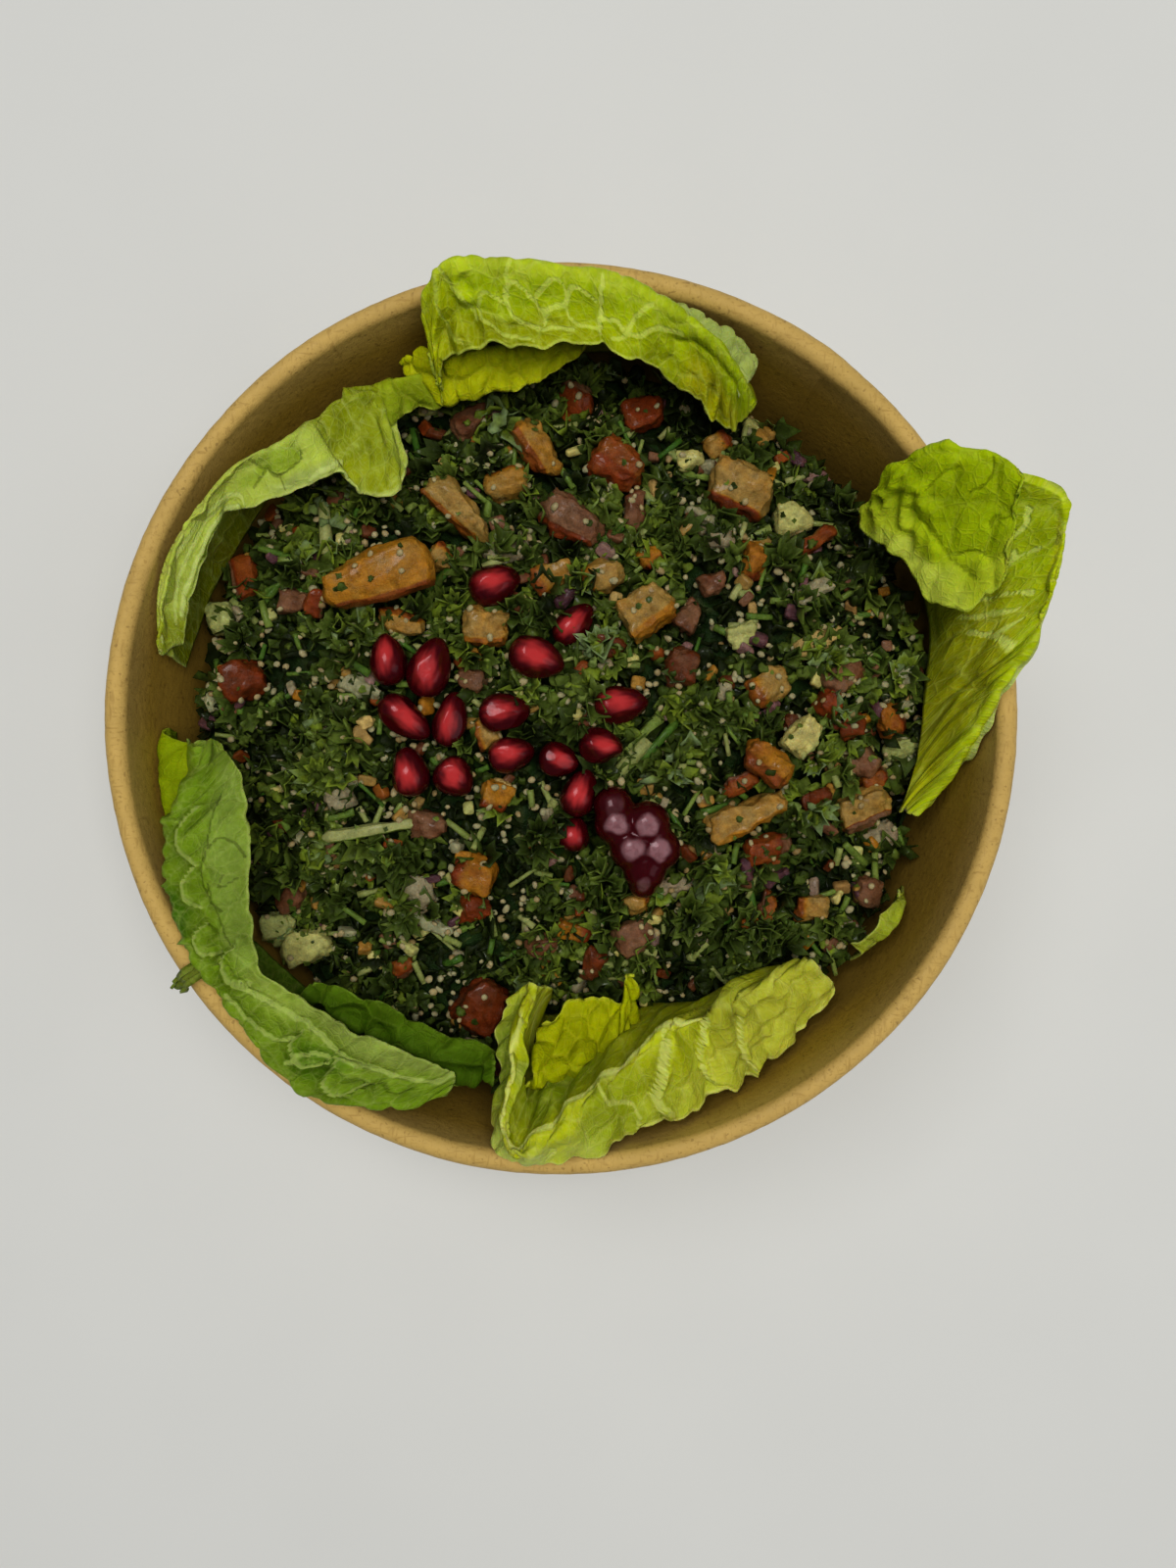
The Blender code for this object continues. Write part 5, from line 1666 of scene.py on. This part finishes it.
CUCUMBER_BITS = (
    (40.6, 36.2, 6.8, 7.2, 10, 0.30),
    (-61.0, 19.4, 5.0, 7.6, 10, 0.60),
    (-46.9, -40.4, 9.6, 8.0, 20, 0.35),
    (60.6, -4.2, 7.6, 4.8, 10, 0.62),
    (31.2, 15.0, 5.6, 4.8, 20, 0.45),
    (48.7, -30.6, 3.0, 2.0, 50, 0.02),
    (15.4, -34.4, 4.0, 1.8, -10, 0.02),
    (-52.0, -36.6, 5.6, 5.0, 0, 0.60),
    (22.6, 46.6, 4.4, 3.8, 10, 0.20),
)
CRISP_BITS = (
    (44.2, 14.0, 8.4, 3.8, 30, 0.2),
    (-34.6, -2.4, 4.2, 3.2, -40, 0.6),
    (-33.6, -0.2, 3.0, 2.2, 20, 0.1),
    (-11.2, -11.4, 4.6, 3.6, 10, 0.3),
)
# Stalks and cut chives, listed one by one: x, y, length, width, turn, tint.
STALK_BITS = (
    (-41.4, 33.6, 2.6, 9.0, 4, 0.05),
    (-52.5, 19.2, 1.6, 5.0, 20, 0.5),
    (-56.8, 8.9, 1.6, 4.0, -10, 0.5),
    (13.8, -2.6, 2.6, 12.0, -42, 0.45),
    (16.4, -3.6, 1.8, 11.0, -42, 0.9),
    (11.8, -6.4, 3.0, 9.0, -42, 0.1),
    (50.4, -8.4, 1.7, 5.0, 4, 0.02),
    (47.6, -9.0, 1.5, 5.0, 20, 0.2),
    (-32.0, -23.4, 1.5, 4.6, 50, 0.6),
    (-22.0, 24.6, 1.7, 11.0, -42, 0.95),
)


def leaf_tree():
    """A search tree of points on the leaves, in metres."""
    clouds = []
    for stations in (*LEAVES.values(), *FRILLS.values()):
        along, across = np.meshgrid(np.linspace(0, 1, 90), np.linspace(0, 1, 36))
        clouds.append(leaf_points(stations, along.ravel(), across.ravel()) * MM)
    points = np.concatenate(clouds)
    tree = kdtree.KDTree(len(points))
    for index, point in enumerate(points):
        tree.insert(point, index)
    tree.balance()
    return tree


def solid_places():
    """Where the larger pieces lie: (x, y, half length, half width, turn in radians) in mm."""
    places = [(s[0], s[1], s[2] / 2, s[3] / 2, math.radians(s[4])) for s in SEEDS]
    places.append((*CLUMP_PLACE, 8.6, 5.8, math.radians(CLUMP_TURN)))
    for x, y, size, turn, *_ in CHUNKS.values():
        places.append((x, y, size[0] / 2, size[1] / 2, math.radians(turn)))
    return places


def covered(x, y, places, share):
    """Whether the point lies inside one of the larger pieces, each shrunk to this share."""
    for cx, cy, half_length, half_width, turn in places:
        dx, dy = x - cx, y - cy
        along = (dx * math.cos(turn) + dy * math.sin(turn)) / half_length
        across = (dy * math.cos(turn) - dx * math.sin(turn)) / half_width
        if along**2 + across**2 < share**2:
            return True
    return False


def scattered_places(amount, rng, places, leaves, share=0.85, room=1.1, lift=(-1.2, 0.6)):
    """Even but irregular places over the heap, in mm, clear of the leaves and the larger pieces."""
    golden = math.pi * (3 - math.sqrt(5))
    found = []
    for step in range(amount):
        radius = HEAP_REACH * math.sqrt((step + rng.random()) / amount)
        turn = step * golden + rng.uniform(-0.5, 0.5)
        x, y = radius * math.cos(turn), radius * math.sin(turn)
        z = heap_height(x, y) + rng.uniform(*lift)
        if covered(x, y, places, share):
            continue
        _, _, distance = leaves.find(Vector((x, y, z)) * MM)
        if distance < room * MM:
            continue
        found.append((x, y, z))
    rng.shuffle(found)
    return found


def edge_highlights(bm, gain):
    """Painted highlight: a lighter tint towards the outer edge of a small shape, for light caught and let through at
    its thin, curled edges.
    """
    reach = np.array([v.co.xy.length for v in bm.verts])
    return gain * (reach / reach.max() - 0.62)


def tuft(x, y):
    """Above nought where the salad stands up in tufts, below nought in the gaps between them."""
    fine = noise.noise(Vector((x, y, 33)) / 7.5) + 0.4 * noise.noise(Vector((x, y, 50)) / 3.4)
    return fine + 0.8 * noise.noise(Vector((x, y, 70)) / 16)


def herb_flake(rng, lobes, bite, curl):
    """A torn bit of parsley: a lobed disc, its lobes folded up and down, with thickness."""
    bm = bmesh.new()
    points = 2 * lobes
    made = bmesh.ops.create_circle(bm, cap_ends=True, cap_tris=True, segments=points, radius=0.5)
    rim = [edge for edge in bm.edges if edge.is_boundary]
    grown = bmesh.ops.extrude_edge_only(bm, edges=rim)["geom"]
    bmesh.ops.scale(bm, vec=(2, 2, 1), verts=[v for v in grown if isinstance(v, bmesh.types.BMVert)])
    phase = rng.uniform(0, 6.28)
    for vert in bm.verts:
        radius, turn = vert.co.xy.length, math.atan2(vert.co.y, vert.co.x)
        inner = round(turn / (2 * math.pi) * points) % 2
        if radius > 0.75:
            radius *= (1 - bite if inner else 1) * rng.uniform(0.82, 1.16)
        bend = curl * radius * (math.sin(turn * lobes / 2 + phase) + rng.uniform(-0.5, 0.5))
        cup = 0.5 * curl * radius**2
        vert.co = Vector((radius * math.cos(turn), radius * math.sin(turn) * rng.uniform(0.85, 1.0), bend + cup))
    bmesh.ops.recalc_face_normals(bm, faces=bm.faces)
    bmesh.ops.solidify(bm, geom=bm.faces[:], thickness=0.09)
    return template(bm, edge_highlights(bm, 0.20))


def herb_frond(rng, curl):
    """A narrower lobe of curled parsley: a strip with a wavy margin."""
    bm = bmesh.new()
    bmesh.ops.create_grid(bm, x_segments=5, y_segments=2, size=1)
    for vert in bm.verts:
        x, y = vert.co.xy
        wide = 0.55 * (1 - 0.55 * x**2) * (1 + 0.35 * math.sin(6.5 * x + rng.uniform(-0.4, 0.4)))
        lift = curl * (0.5 * x**2 + abs(y) * 0.5 * math.sin(5.2 * x + y) + rng.uniform(-0.12, 0.12))
        vert.co = Vector((x, y * wide, lift))
    bmesh.ops.solidify(bm, geom=bm.faces[:], thickness=0.10)
    return template(bm, edge_highlights(bm, 0.20))


def herb_leaflet(rng, lobes):
    """A leaflet of parsley: a pleated fan with lobes, cupped, its lobes curled up at their ends."""
    bm = bmesh.new()
    bmesh.ops.create_grid(bm, x_segments=2, y_segments=2 * lobes, size=1)
    curl, cup = rng.uniform(0.25, 0.7), rng.uniform(-0.1, 0.5)
    for vert in bm.verts:
        along, across = (vert.co.x + 1) / 2, vert.co.y
        tooth = math.cos(math.pi * lobes * across) if along > 0.4 else 0
        radius = (0.12 + 0.88 * along) * (1 + 0.22 * tooth - 0.25 * across**2) * rng.uniform(0.93, 1.07)
        turn = 1.15 * across
        lift = 0.16 * along * math.cos(math.pi * lobes * across) + curl * along**2.5 + cup * across**2 * along
        vert.co = Vector((radius * math.cos(turn), radius * math.sin(turn), lift))
    bmesh.ops.recalc_face_normals(bm, faces=bm.faces)
    bmesh.ops.solidify(bm, geom=bm.faces[:], thickness=0.07)
    return template(bm, edge_highlights(bm, 0.34))


def herb_crumb(rng):
    """A crumb of curled parsley: a flattened ball, folded in and out."""
    bm = bmesh.new()
    bmesh.ops.create_icosphere(bm, subdivisions=2, radius=1)
    shift = Vector([rng.uniform(-9, 9) for _ in "xyz"])
    for vert in bm.verts:
        vert.co *= 1 + 0.9 * noise.noise(vert.co * 2.1 + shift) + rng.uniform(-0.12, 0.12)
        vert.co.z *= 0.62
    return template(bm)


def grain_template(rng):
    bm = bmesh.new()
    bmesh.ops.create_icosphere(bm, subdivisions=2, radius=1)
    for vert in bm.verts:
        vert.co *= 1 + rng.uniform(-0.10, 0.10)
    return template(bm)


def stalk_template(rng, segments=7):
    """A short cut stalk: a bent tube with closed, cut ends."""
    bm = bmesh.new()
    bmesh.ops.create_cone(
        bm, cap_ends=True, segments=segments, radius1=1, radius2=0.86, depth=2
    )
    around = [edge for edge in bm.edges if abs(edge.verts[0].co.z - edge.verts[1].co.z) > 1]
    bmesh.ops.subdivide_edges(bm, edges=around, cuts=2)
    turn = Matrix.Rotation(math.pi / 2, 3, "Y")
    bend = rng.uniform(-0.7, 0.7)
    for vert in bm.verts:
        vert.co.x += bend * vert.co.z**2
        vert.co = turn @ vert.co
    return template(bm)


def bit_template(rng):
    """A small cut piece: a block with its edges taken off, none of its faces quite flat."""
    bm = bmesh.new()
    bmesh.ops.create_cube(bm, size=2)
    for vert in bm.verts:
        vert.co *= rng.uniform(0.78, 1.1)
    bmesh.ops.bevel(
        bm, geom=bm.edges[:], offset=0.42, segments=2, profile=0.5, affect="EDGES", material=-1
    )
    return template(bm)


def flat_turn(rng, turn, tilt):
    tip = Euler([math.radians(rng.gauss(0, tilt)) for _ in "xy"] + [0])
    return tip.to_matrix() @ Matrix.Rotation(math.radians(turn), 3, "Z")


def make_core(settings, material):
    """The underlayer: the heap's own outline a little lower, with the lumps of packed salad."""
    high = wall_radius(HEAP_EDGE) - LEAF_ROOM - 1.2
    low = wall_radius(BASE_HEIGHT + PAPER + GAP) - LEAF_ROOM - 1.2
    floor = BASE_HEIGHT + PAPER + GAP
    top = HEAP_EDGE - CORE_DROP
    profile = [(0, floor)] + [(low * s, floor) for s in (0.25, 0.5, 0.75, 0.97)]
    profile += [(low + (high - low) * s, floor + (top - floor) * s) for s in np.linspace(0.04, 0.98, 22)]
    profile += [(high * s, top) for s in np.linspace(1, 0, 80)]
    bm = turned_mesh("core", profile, 220, closed=False)
    tints = []
    for vert in bm.verts:
        x, y, z = vert.co / MM
        spot = Vector((x, y, z))
        lump = noise.noise(spot / 3.1) + 0.5 * noise.noise(spot / 1.3)
        if z > top - 0.5:
            z = heap_height(x, y) - CORE_DROP + 0.9 * lump
            if covered(x, y, solid_places(), 0.9):
                z -= 2.0
        elif z > floor + 0.5:
            out = 1 + 0.6 * lump / max(1, math.hypot(x, y))
            x, y = x * out, y * out
        vert.co = Vector((x, y, z)) * MM
        tints.append(min(1, max(0, 0.45 + 0.55 * lump)))
    mesh = finish_mesh(bm, "salad_underlayer")
    add_point_values(mesh, "tint", tints)
    make_piece("salad_underlayer", mesh, [material], ["salad"])


def herb_copies(rng, places, kinds, size, tilt, base, spread):
    """Copies of herb flakes: their size range in mm, tilt in degrees, and tints round a base."""
    copies = []
    for x, y, z in places:
        rise = tuft(x, y)
        z += 2.1 * rise
        patch = noise.noise(Vector((x, y, 5)) / 9)
        # Painted light and shade: the tint rises with the tuft, lighter on top of the tufts and darker in the gaps.
        tint = min(1, max(0, base + 0.28 * patch + 0.5 * rise + rng.gauss(0, spread)))
        half = rng.uniform(*size) / 2
        turn = random_turn(rng, tilt)
        scale = Vector((half, half * rng.uniform(0.6, 1), half)) * MM
        copies.append((rng.randrange(kinds), placed(x, y, z, turn, scale), tint))
    return copies


def make_herbs(settings, material):
    rng = random.Random(11)
    leaves, places = leaf_tree(), solid_places()
    flakes = [herb_flake(rng, rng.choice((4, 5, 6)), rng.uniform(0.3, 0.5), rng.uniform(0.3, 0.7)) for _ in range(7)]
    fronds = [herb_frond(rng, rng.uniform(0.4, 0.9)) for _ in range(6)]
    kinds = flakes + fronds
    half = settings.flakes // 2
    low = scattered_places(half, rng, places, leaves, 0.95, 1.3, (-2.2, -0.6))
    copies = herb_copies(rng, low, len(kinds), (4.6, 8.0), 30, 0.18, 0.12)
    add_herbs("parsley_low", kinds, copies, material)
    high = scattered_places(half, rng, places, leaves, 0.92, 1.5, (-0.9, 0.5))
    high = [place for place in high if tuft(*place[:2]) > -0.30]
    copies = herb_copies(rng, high, len(kinds), (2.8, 6.0), 38, 0.40, 0.13)
    add_herbs("parsley_high", kinds, copies, material)
    crumbs = [herb_crumb(rng) for _ in range(8)]
    loose = scattered_places(settings.crumbs, rng, places, leaves, 0.92, 1.2, (-1.1, 0.5))
    copies = herb_copies(rng, loose, len(crumbs), (1.3, 2.8), 30, 0.42, 0.16)
    add_herbs("parsley_crumbs", crumbs, copies, material)
    # Sprigs: a few leaflets sprung from one point.
    leaflets = [herb_leaflet(rng, rng.choice((2, 3, 3))) for _ in range(8)]
    copies = []
    for x, y, z in scattered_places(settings.sprigs // 4, rng, places, leaves, 0.96, 2.2, (-0.2, 0.7)):
        rise = tuft(x, y)
        if rise < -0.25:
            continue
        # Painted light and shade: lighter on the tufts, darker in the gaps.
        base = 0.34 + 0.5 * rise + rng.gauss(0, 0.15)
        first = rng.uniform(0, 360)
        for number in range(rng.choice((2, 3, 4))):
            way = math.radians(first + 75 * number + rng.uniform(-25, 25))
            turn = Matrix.Rotation(way, 3, "Z") @ Matrix.Rotation(-rng.uniform(-0.2, 0.75), 3, "Y")
            turn = turn @ Matrix.Rotation(rng.gauss(0, 0.45), 3, "X")
            size = Vector([rng.uniform(2.2, 4.5) * s for s in (1, 0.85, 1)])
            tint = min(1, max(0, base + rng.gauss(0, 0.10)))
            place = (x + 0.5 * math.cos(way), y + 0.5 * math.sin(way), z + 1.4 * rise)
            copies.append((rng.randrange(len(leaflets)), placed(*place, turn, size * MM), tint))
    add_herbs("parsley_sprigs", leaflets, copies, material)


def add_herbs(name, kinds, copies, material):
    make_piece(name, joined_copies(name, kinds, copies), [material])


def make_grains(settings, material):
    rng = random.Random(12)
    leaves, places = leaf_tree(), solid_places()
    kinds = [grain_template(rng) for _ in range(4)]
    copies = []
    for x, y, z in scattered_places(settings.grains, rng, places, leaves, 0.80, 0.8, (-0.9, 1.1)):
        # Grains gather in drifts.
        if noise.noise(Vector((x, y, 21)) / 7) + rng.uniform(-0.5, 0.5) < -0.10:
            continue
        z += 1.1 * tuft(x, y)
        half = rng.uniform(0.42, 0.72)
        size = Vector((half * rng.uniform(1.0, 1.5), half, half * rng.uniform(0.7, 1))) * MM
        copies.append((rng.randrange(4), placed(x, y, z, random_turn(rng, 30), size), rng.random() ** 1.6))
    make_piece("bulgur_grains", joined_copies("bulgur_grains", kinds, copies), [material])


def make_stalks(settings, material):
    rng = random.Random(13)
    leaves, places = leaf_tree(), solid_places()
    kinds = [stalk_template(rng) for _ in range(5)]
    copies = []
    for x, y, z in scattered_places(settings.stems, rng, places, leaves, 1.0, 2.0, (-0.6, 0.6)):
        thick = rng.uniform(0.35, 0.8)
        size = Vector((rng.uniform(1.2, 3.4), thick, thick)) * MM
        copies.append((rng.randrange(5), placed(x, y, z, random_turn(rng, 16), size), rng.random()))
    for x, y, across, along, turn, tint in STALK_BITS:
        size = Vector((along / 2, across / 2, across / 2)) * MM
        z = heap_height(x, y) + 0.9
        copies.append((rng.randrange(5), placed(x, y, z, flat_turn(rng, turn + 90, 5), size), tint))
    make_piece("cut_stalks", joined_copies("cut_stalks", kinds, copies), [material])


def make_bits(name, bits, amount, material, seed, tints, thin=0.55, edge=0.0):
    """Cut pieces of one kind: those listed one by one, and an amount of smaller ones between them.

    One side of a pale piece has its tint raised by edge, as where the skin is left on.
    """
    rng = random.Random(seed)
    leaves, places = leaf_tree(), solid_places()
    shapes, copies = [], []
    for x, y, length_mm, width, turn, tint in bits:
        height = thin * min(length_mm, width) + 1.6
        taper = rng.uniform(0.05, 0.3)
        bm, spots = rough_block((length_mm, width, height), taper, rng, 8, 0.55, 0.65)
        skin = rng.choice((0, 1)), rng.choice((-1, 1))
        side = smoothstep(0.35, 0.85, spots[:, skin[0]] * skin[1])
        shapes.append(template(bm, side * edge if tint < 0.6 else 0.0))
        lift = 0.22 * height
        matrix = flat_turn(rng, turn, 9).to_4x4()
        matrix.translation = Vector((x, y, heap_height(x, y) + lift - 0.2)) * MM
        copies.append((len(shapes) - 1, matrix, tint))
    kinds = [bit_template(rng) for _ in range(6)]
    for x, y, z in scattered_places(amount, rng, places, leaves, 1.05, 2.2, (-0.8, 0.5)):
        size = Vector([rng.uniform(0.8, 2.1), rng.uniform(0.7, 1.5), rng.uniform(0.6, 1.1)]) * MM
        tint = rng.choice(tints) + rng.uniform(-0.05, 0.05)
        copies.append((len(bits) + rng.randrange(6), placed(x, y, z, random_turn(rng, 25), size), tint))
    make_piece(name, joined_copies(name, shapes + kinds, copies), [material])


def dusting_places(names, amount, rng):
    """Points and normals on the upper sides of the named pieces, in metres."""
    graph = bpy.context.evaluated_depsgraph_get()
    trees = [BVHTree.FromObject(bpy.data.objects[name], graph) for name in names]
    found = []
    while len(found) < amount:
        reach = HEAP_REACH * math.sqrt(rng.random())
        way = rng.uniform(0, 2 * math.pi)
        above = Vector((reach * math.cos(way), reach * math.sin(way), 90)) * MM
        hits = [tree.ray_cast(above, Vector((0, 0, -1))) for tree in trees]
        hits = [hit for hit in hits if hit[0] is not None and hit[1].z > 0.35]
        if hits:
            point, normal = max(hits, key=lambda hit: hit[0].z)[:2]
            found.append((point, normal))
    return found


def make_dusting(settings, herb, grain):
    """Bits of parsley and bulgur that stick to the larger cut pieces."""
    rng = random.Random(18)
    names = [f"{name}_cut" for name in CHUNKS]
    names += ["tomato_pieces", "onion_pieces", "cucumber_pieces"]
    flakes = [herb_flake(rng, rng.choice((3, 4, 5)), 0.35, 0.25) for _ in range(5)]
    crumbs = [herb_crumb(rng) for _ in range(3)]
    grains = [grain_template(rng) for _ in range(4)]
    for name, kinds, amount, half, material in (
        ("parsley_flecks", flakes + crumbs, settings.flecks, (0.35, 0.85), herb),
        ("bulgur_flecks", grains, settings.flecks, (0.36, 0.64), grain),
    ):
        copies = []
        for point, normal in dusting_places(names, amount, rng):
            size = rng.uniform(*half)
            turn = normal.to_track_quat("Z", "Y").to_matrix() @ random_turn(rng, 12)
            scale = Vector((size * rng.uniform(1, 1.4), size, size * 0.7)) * MM
            matrix = (turn @ Matrix.Diagonal(scale)).to_4x4()
            matrix.translation = point + normal * 0.12 * MM
            copies.append((rng.randrange(len(kinds)), matrix, min(1, max(0, rng.gauss(0.5, 0.22)))))
        make_piece(name, joined_copies(name, kinds, copies), [material])


# ---------------------------------------------------------------- the stage


def make_stage(settings):
    bm = bmesh.new()
    bmesh.ops.create_grid(bm, x_segments=4, y_segments=4, size=1.6)
    mesh = bpy.data.meshes.new("floor")
    bm.to_mesh(mesh)
    bm.free()
    floor = bpy.data.objects.new("floor", mesh)
    bpy.context.scene.collection.objects.link(floor)
    material, tree, shader = new_material("pale_floor")
    cloudy, _ = mottled(tree, tuple(settings.floor), 6.0, 0.015)
    set_shader(tree, shader, {"Base Color": cloudy, "Roughness": 0.7, "Specular IOR Level": 0.2})
    mesh.materials.append(material)

    world = bpy.data.worlds.new("soft_room")
    bpy.context.scene.world = world
    world.use_nodes = True
    back = world.node_tree.nodes["Background"]
    back.inputs["Color"].default_value = (0.93, 0.97, 1.0, 1)
    back.inputs["Strength"].default_value = settings.fill

    for name, place, size, share, tone, mirrored in (
        ("overhead_panel", (0.15, 0.03, 1.35), 0.8, 1.0, (1.0, 0.985, 0.95), False),
        ("window", (-0.34, 0.42, 1.10), 0.40, 0.15, (1.0, 1.0, 1.0), True),
        ("side_panel", (0.75, -0.25, 0.9), 0.7, 0.05, (0.96, 0.98, 1.0), True),
    ):
        lamp = bpy.data.lights.new(name, "AREA")
        lamp.shape = "SQUARE"
        lamp.size = size
        lamp.energy = settings.overhead * share
        lamp.color = tone
        holder = bpy.data.objects.new(name, lamp)
        holder.location = place
        holder.visible_glossy = mirrored
        holder.rotation_euler = (Vector((0, 0, 0.04)) - Vector(place)).to_track_quat("-Z", "Y").to_euler()
        bpy.context.scene.collection.objects.link(holder)

    camera = bpy.data.cameras.new("camera")
    camera.lens = settings.lens
    camera.sensor_width = 36
    camera.clip_start = 0.01
    eye = bpy.data.objects.new("camera", camera)
    eye.location = (settings.camera_x, settings.camera_y, settings.camera_height)
    bpy.context.scene.collection.objects.link(eye)
    bpy.context.scene.camera = eye
    bpy.context.scene.view_settings.view_transform = "Standard"
    bpy.context.scene.view_settings.look = "Medium High Contrast"


# ---------------------------------------------------------------- operators and panel


class SALAD_OT_bowl(bpy.types.Operator):
    """Build the kraft-paper bowl: its side with the rolled rim, and its base"""

    bl_idname = "salad.bowl"
    bl_label = "Paper bowl"

    def execute(self, context):
        settings = context.scene.salad_bowl
        material = kraft_material(settings)
        make_bowl_side(settings, material)
        make_bowl_base(settings, material)
        return {"FINISHED"}


class SALAD_OT_leaves(bpy.types.Operator):
    """Build the lettuce leaves round the wall"""

    bl_idname = "salad.leaves"
    bl_label = "Lettuce leaves"

    def execute(self, context):
        materials = [lettuce_material("lettuce_face", 0.0), lettuce_material("lettuce_back", 0.08)]
        for name in (*LEAVES, *FRILLS):
            make_leaf(name, context.scene.salad_leaves, materials)
        return {"FINISHED"}


class SALAD_OT_seeds(bpy.types.Operator):
    """Build the pomegranate seeds and the clump of them"""

    bl_idname = "salad.seeds"
    bl_label = "Pomegranate seeds"

    def execute(self, context):
        settings = context.scene.salad_seeds
        material = pomegranate_material("pomegranate_gel", tuple(settings.gel), tuple(settings.core), 260.0)
        for number, row in enumerate(SEEDS, 1):
            make_seed(number, row, material)
        # The clump's pale core colour is the colour of its painted reflections.
        clump = pomegranate_material("pomegranate_clump", tuple(settings.clump_gel), (0.26, 0.135, 0.15), 900.0)
        make_clump(clump)
        return {"FINISHED"}


class SALAD_OT_chunks(bpy.types.Operator):
    """Build the larger cut pieces of tomato, cucumber and stalk"""

    bl_idname = "salad.chunks"
    bl_label = "Larger cut pieces"

    def execute(self, context):
        tomato = tomato_material()
        materials = {
            "tomato_flesh": tomato,
            "tomato_skin": tomato,
            "cucumber": cucumber_material(),
            "stem": stem_material(),
        }
        for name, row in CHUNKS.items():
            make_chunk(name, row, materials)
        return {"FINISHED"}


class SALAD_OT_heap(bpy.types.Operator):
    """Build the heap's underlayer and the herbs, grains and small cut pieces over it"""

    bl_idname = "salad.heap"
    bl_label = "Heap of tabbouleh"

    def execute(self, context):
        settings = context.scene.salad_heap
        make_core(settings, core_material(settings))
        herb, grain = herb_material(settings), grain_material(settings)
        make_herbs(settings, herb)
        make_grains(settings, grain)
        make_stalks(settings, bpy.data.materials["cut_stem"])
        tomato, cucumber = (bpy.data.materials[f"{name}_cut"] for name in ("tomato", "cucumber"))
        make_bits("tomato_pieces", TOMATO_BITS, settings.tomato, tomato, 14, (0.05, 0.2, 0.5, 0.85, 0.95), edge=0.42)
        make_bits("onion_pieces", ONION_BITS, settings.onion, onion_material(), 15, (0.1, 0.3, 0.6, 0.9), 0.3)
        make_bits("cucumber_pieces", CUCUMBER_BITS, settings.cucumber, cucumber, 16, (0.1, 0.4, 0.7))
        make_bits("fried_crisps", CRISP_BITS, 24, crisp_material(), 17, (0.1, 0.5, 0.9), 0.3)
        make_dusting(settings, herb, grain)
        return {"FINISHED"}


class SALAD_OT_stage(bpy.types.Operator):
    """Set the pale floor, the soft lights and the camera overhead"""

    bl_idname = "salad.stage"
    bl_label = "Floor, lights and camera"

    def execute(self, context):
        make_stage(context.scene.salad_stage)
        return {"FINISHED"}


class SALAD_PT_panel(bpy.types.Panel):
    """The pieces of the salad, in the order in which they are made"""

    bl_idname = "SALAD_PT_panel"
    bl_label = "Tabbouleh salad"
    bl_space_type = "VIEW_3D"
    bl_region_type = "UI"
    bl_category = "Salad"

    def draw(self, context):
        for operator in OPERATORS:
            self.layout.operator(operator.bl_idname)
        for holder in SETTINGS:
            box = self.layout.box()
            settings = getattr(context.scene, holder)
            for name in settings.__annotations__:
                box.prop(settings, name)


OPERATORS = (
    SALAD_OT_stage,
    SALAD_OT_bowl,
    SALAD_OT_leaves,
    SALAD_OT_seeds,
    SALAD_OT_chunks,
    SALAD_OT_heap,
)
SETTINGS = {
    "salad_bowl": BowlSettings,
    "salad_leaves": LeafSettings,
    "salad_heap": SaladSettings,
    "salad_seeds": SeedSettings,
    "salad_stage": StageSettings,
}


def register():
    for kind in (*SETTINGS.values(), *OPERATORS, SALAD_PT_panel):
        bpy.utils.register_class(kind)
    for name, kind in SETTINGS.items():
        setattr(bpy.types.Scene, name, PointerProperty(type=kind))


def unregister():
    for name in SETTINGS:
        delattr(bpy.types.Scene, name)
    for kind in (SALAD_PT_panel, *reversed(OPERATORS), *SETTINGS.values()):
        bpy.utils.unregister_class(kind)


def main():
    register()
    for operator in OPERATORS:
        getattr(bpy.ops.salad, operator.bl_idname.split(".")[1])()
    bpy.context.view_layer.update()
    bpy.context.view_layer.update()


if __name__ == "__main__":
    main()
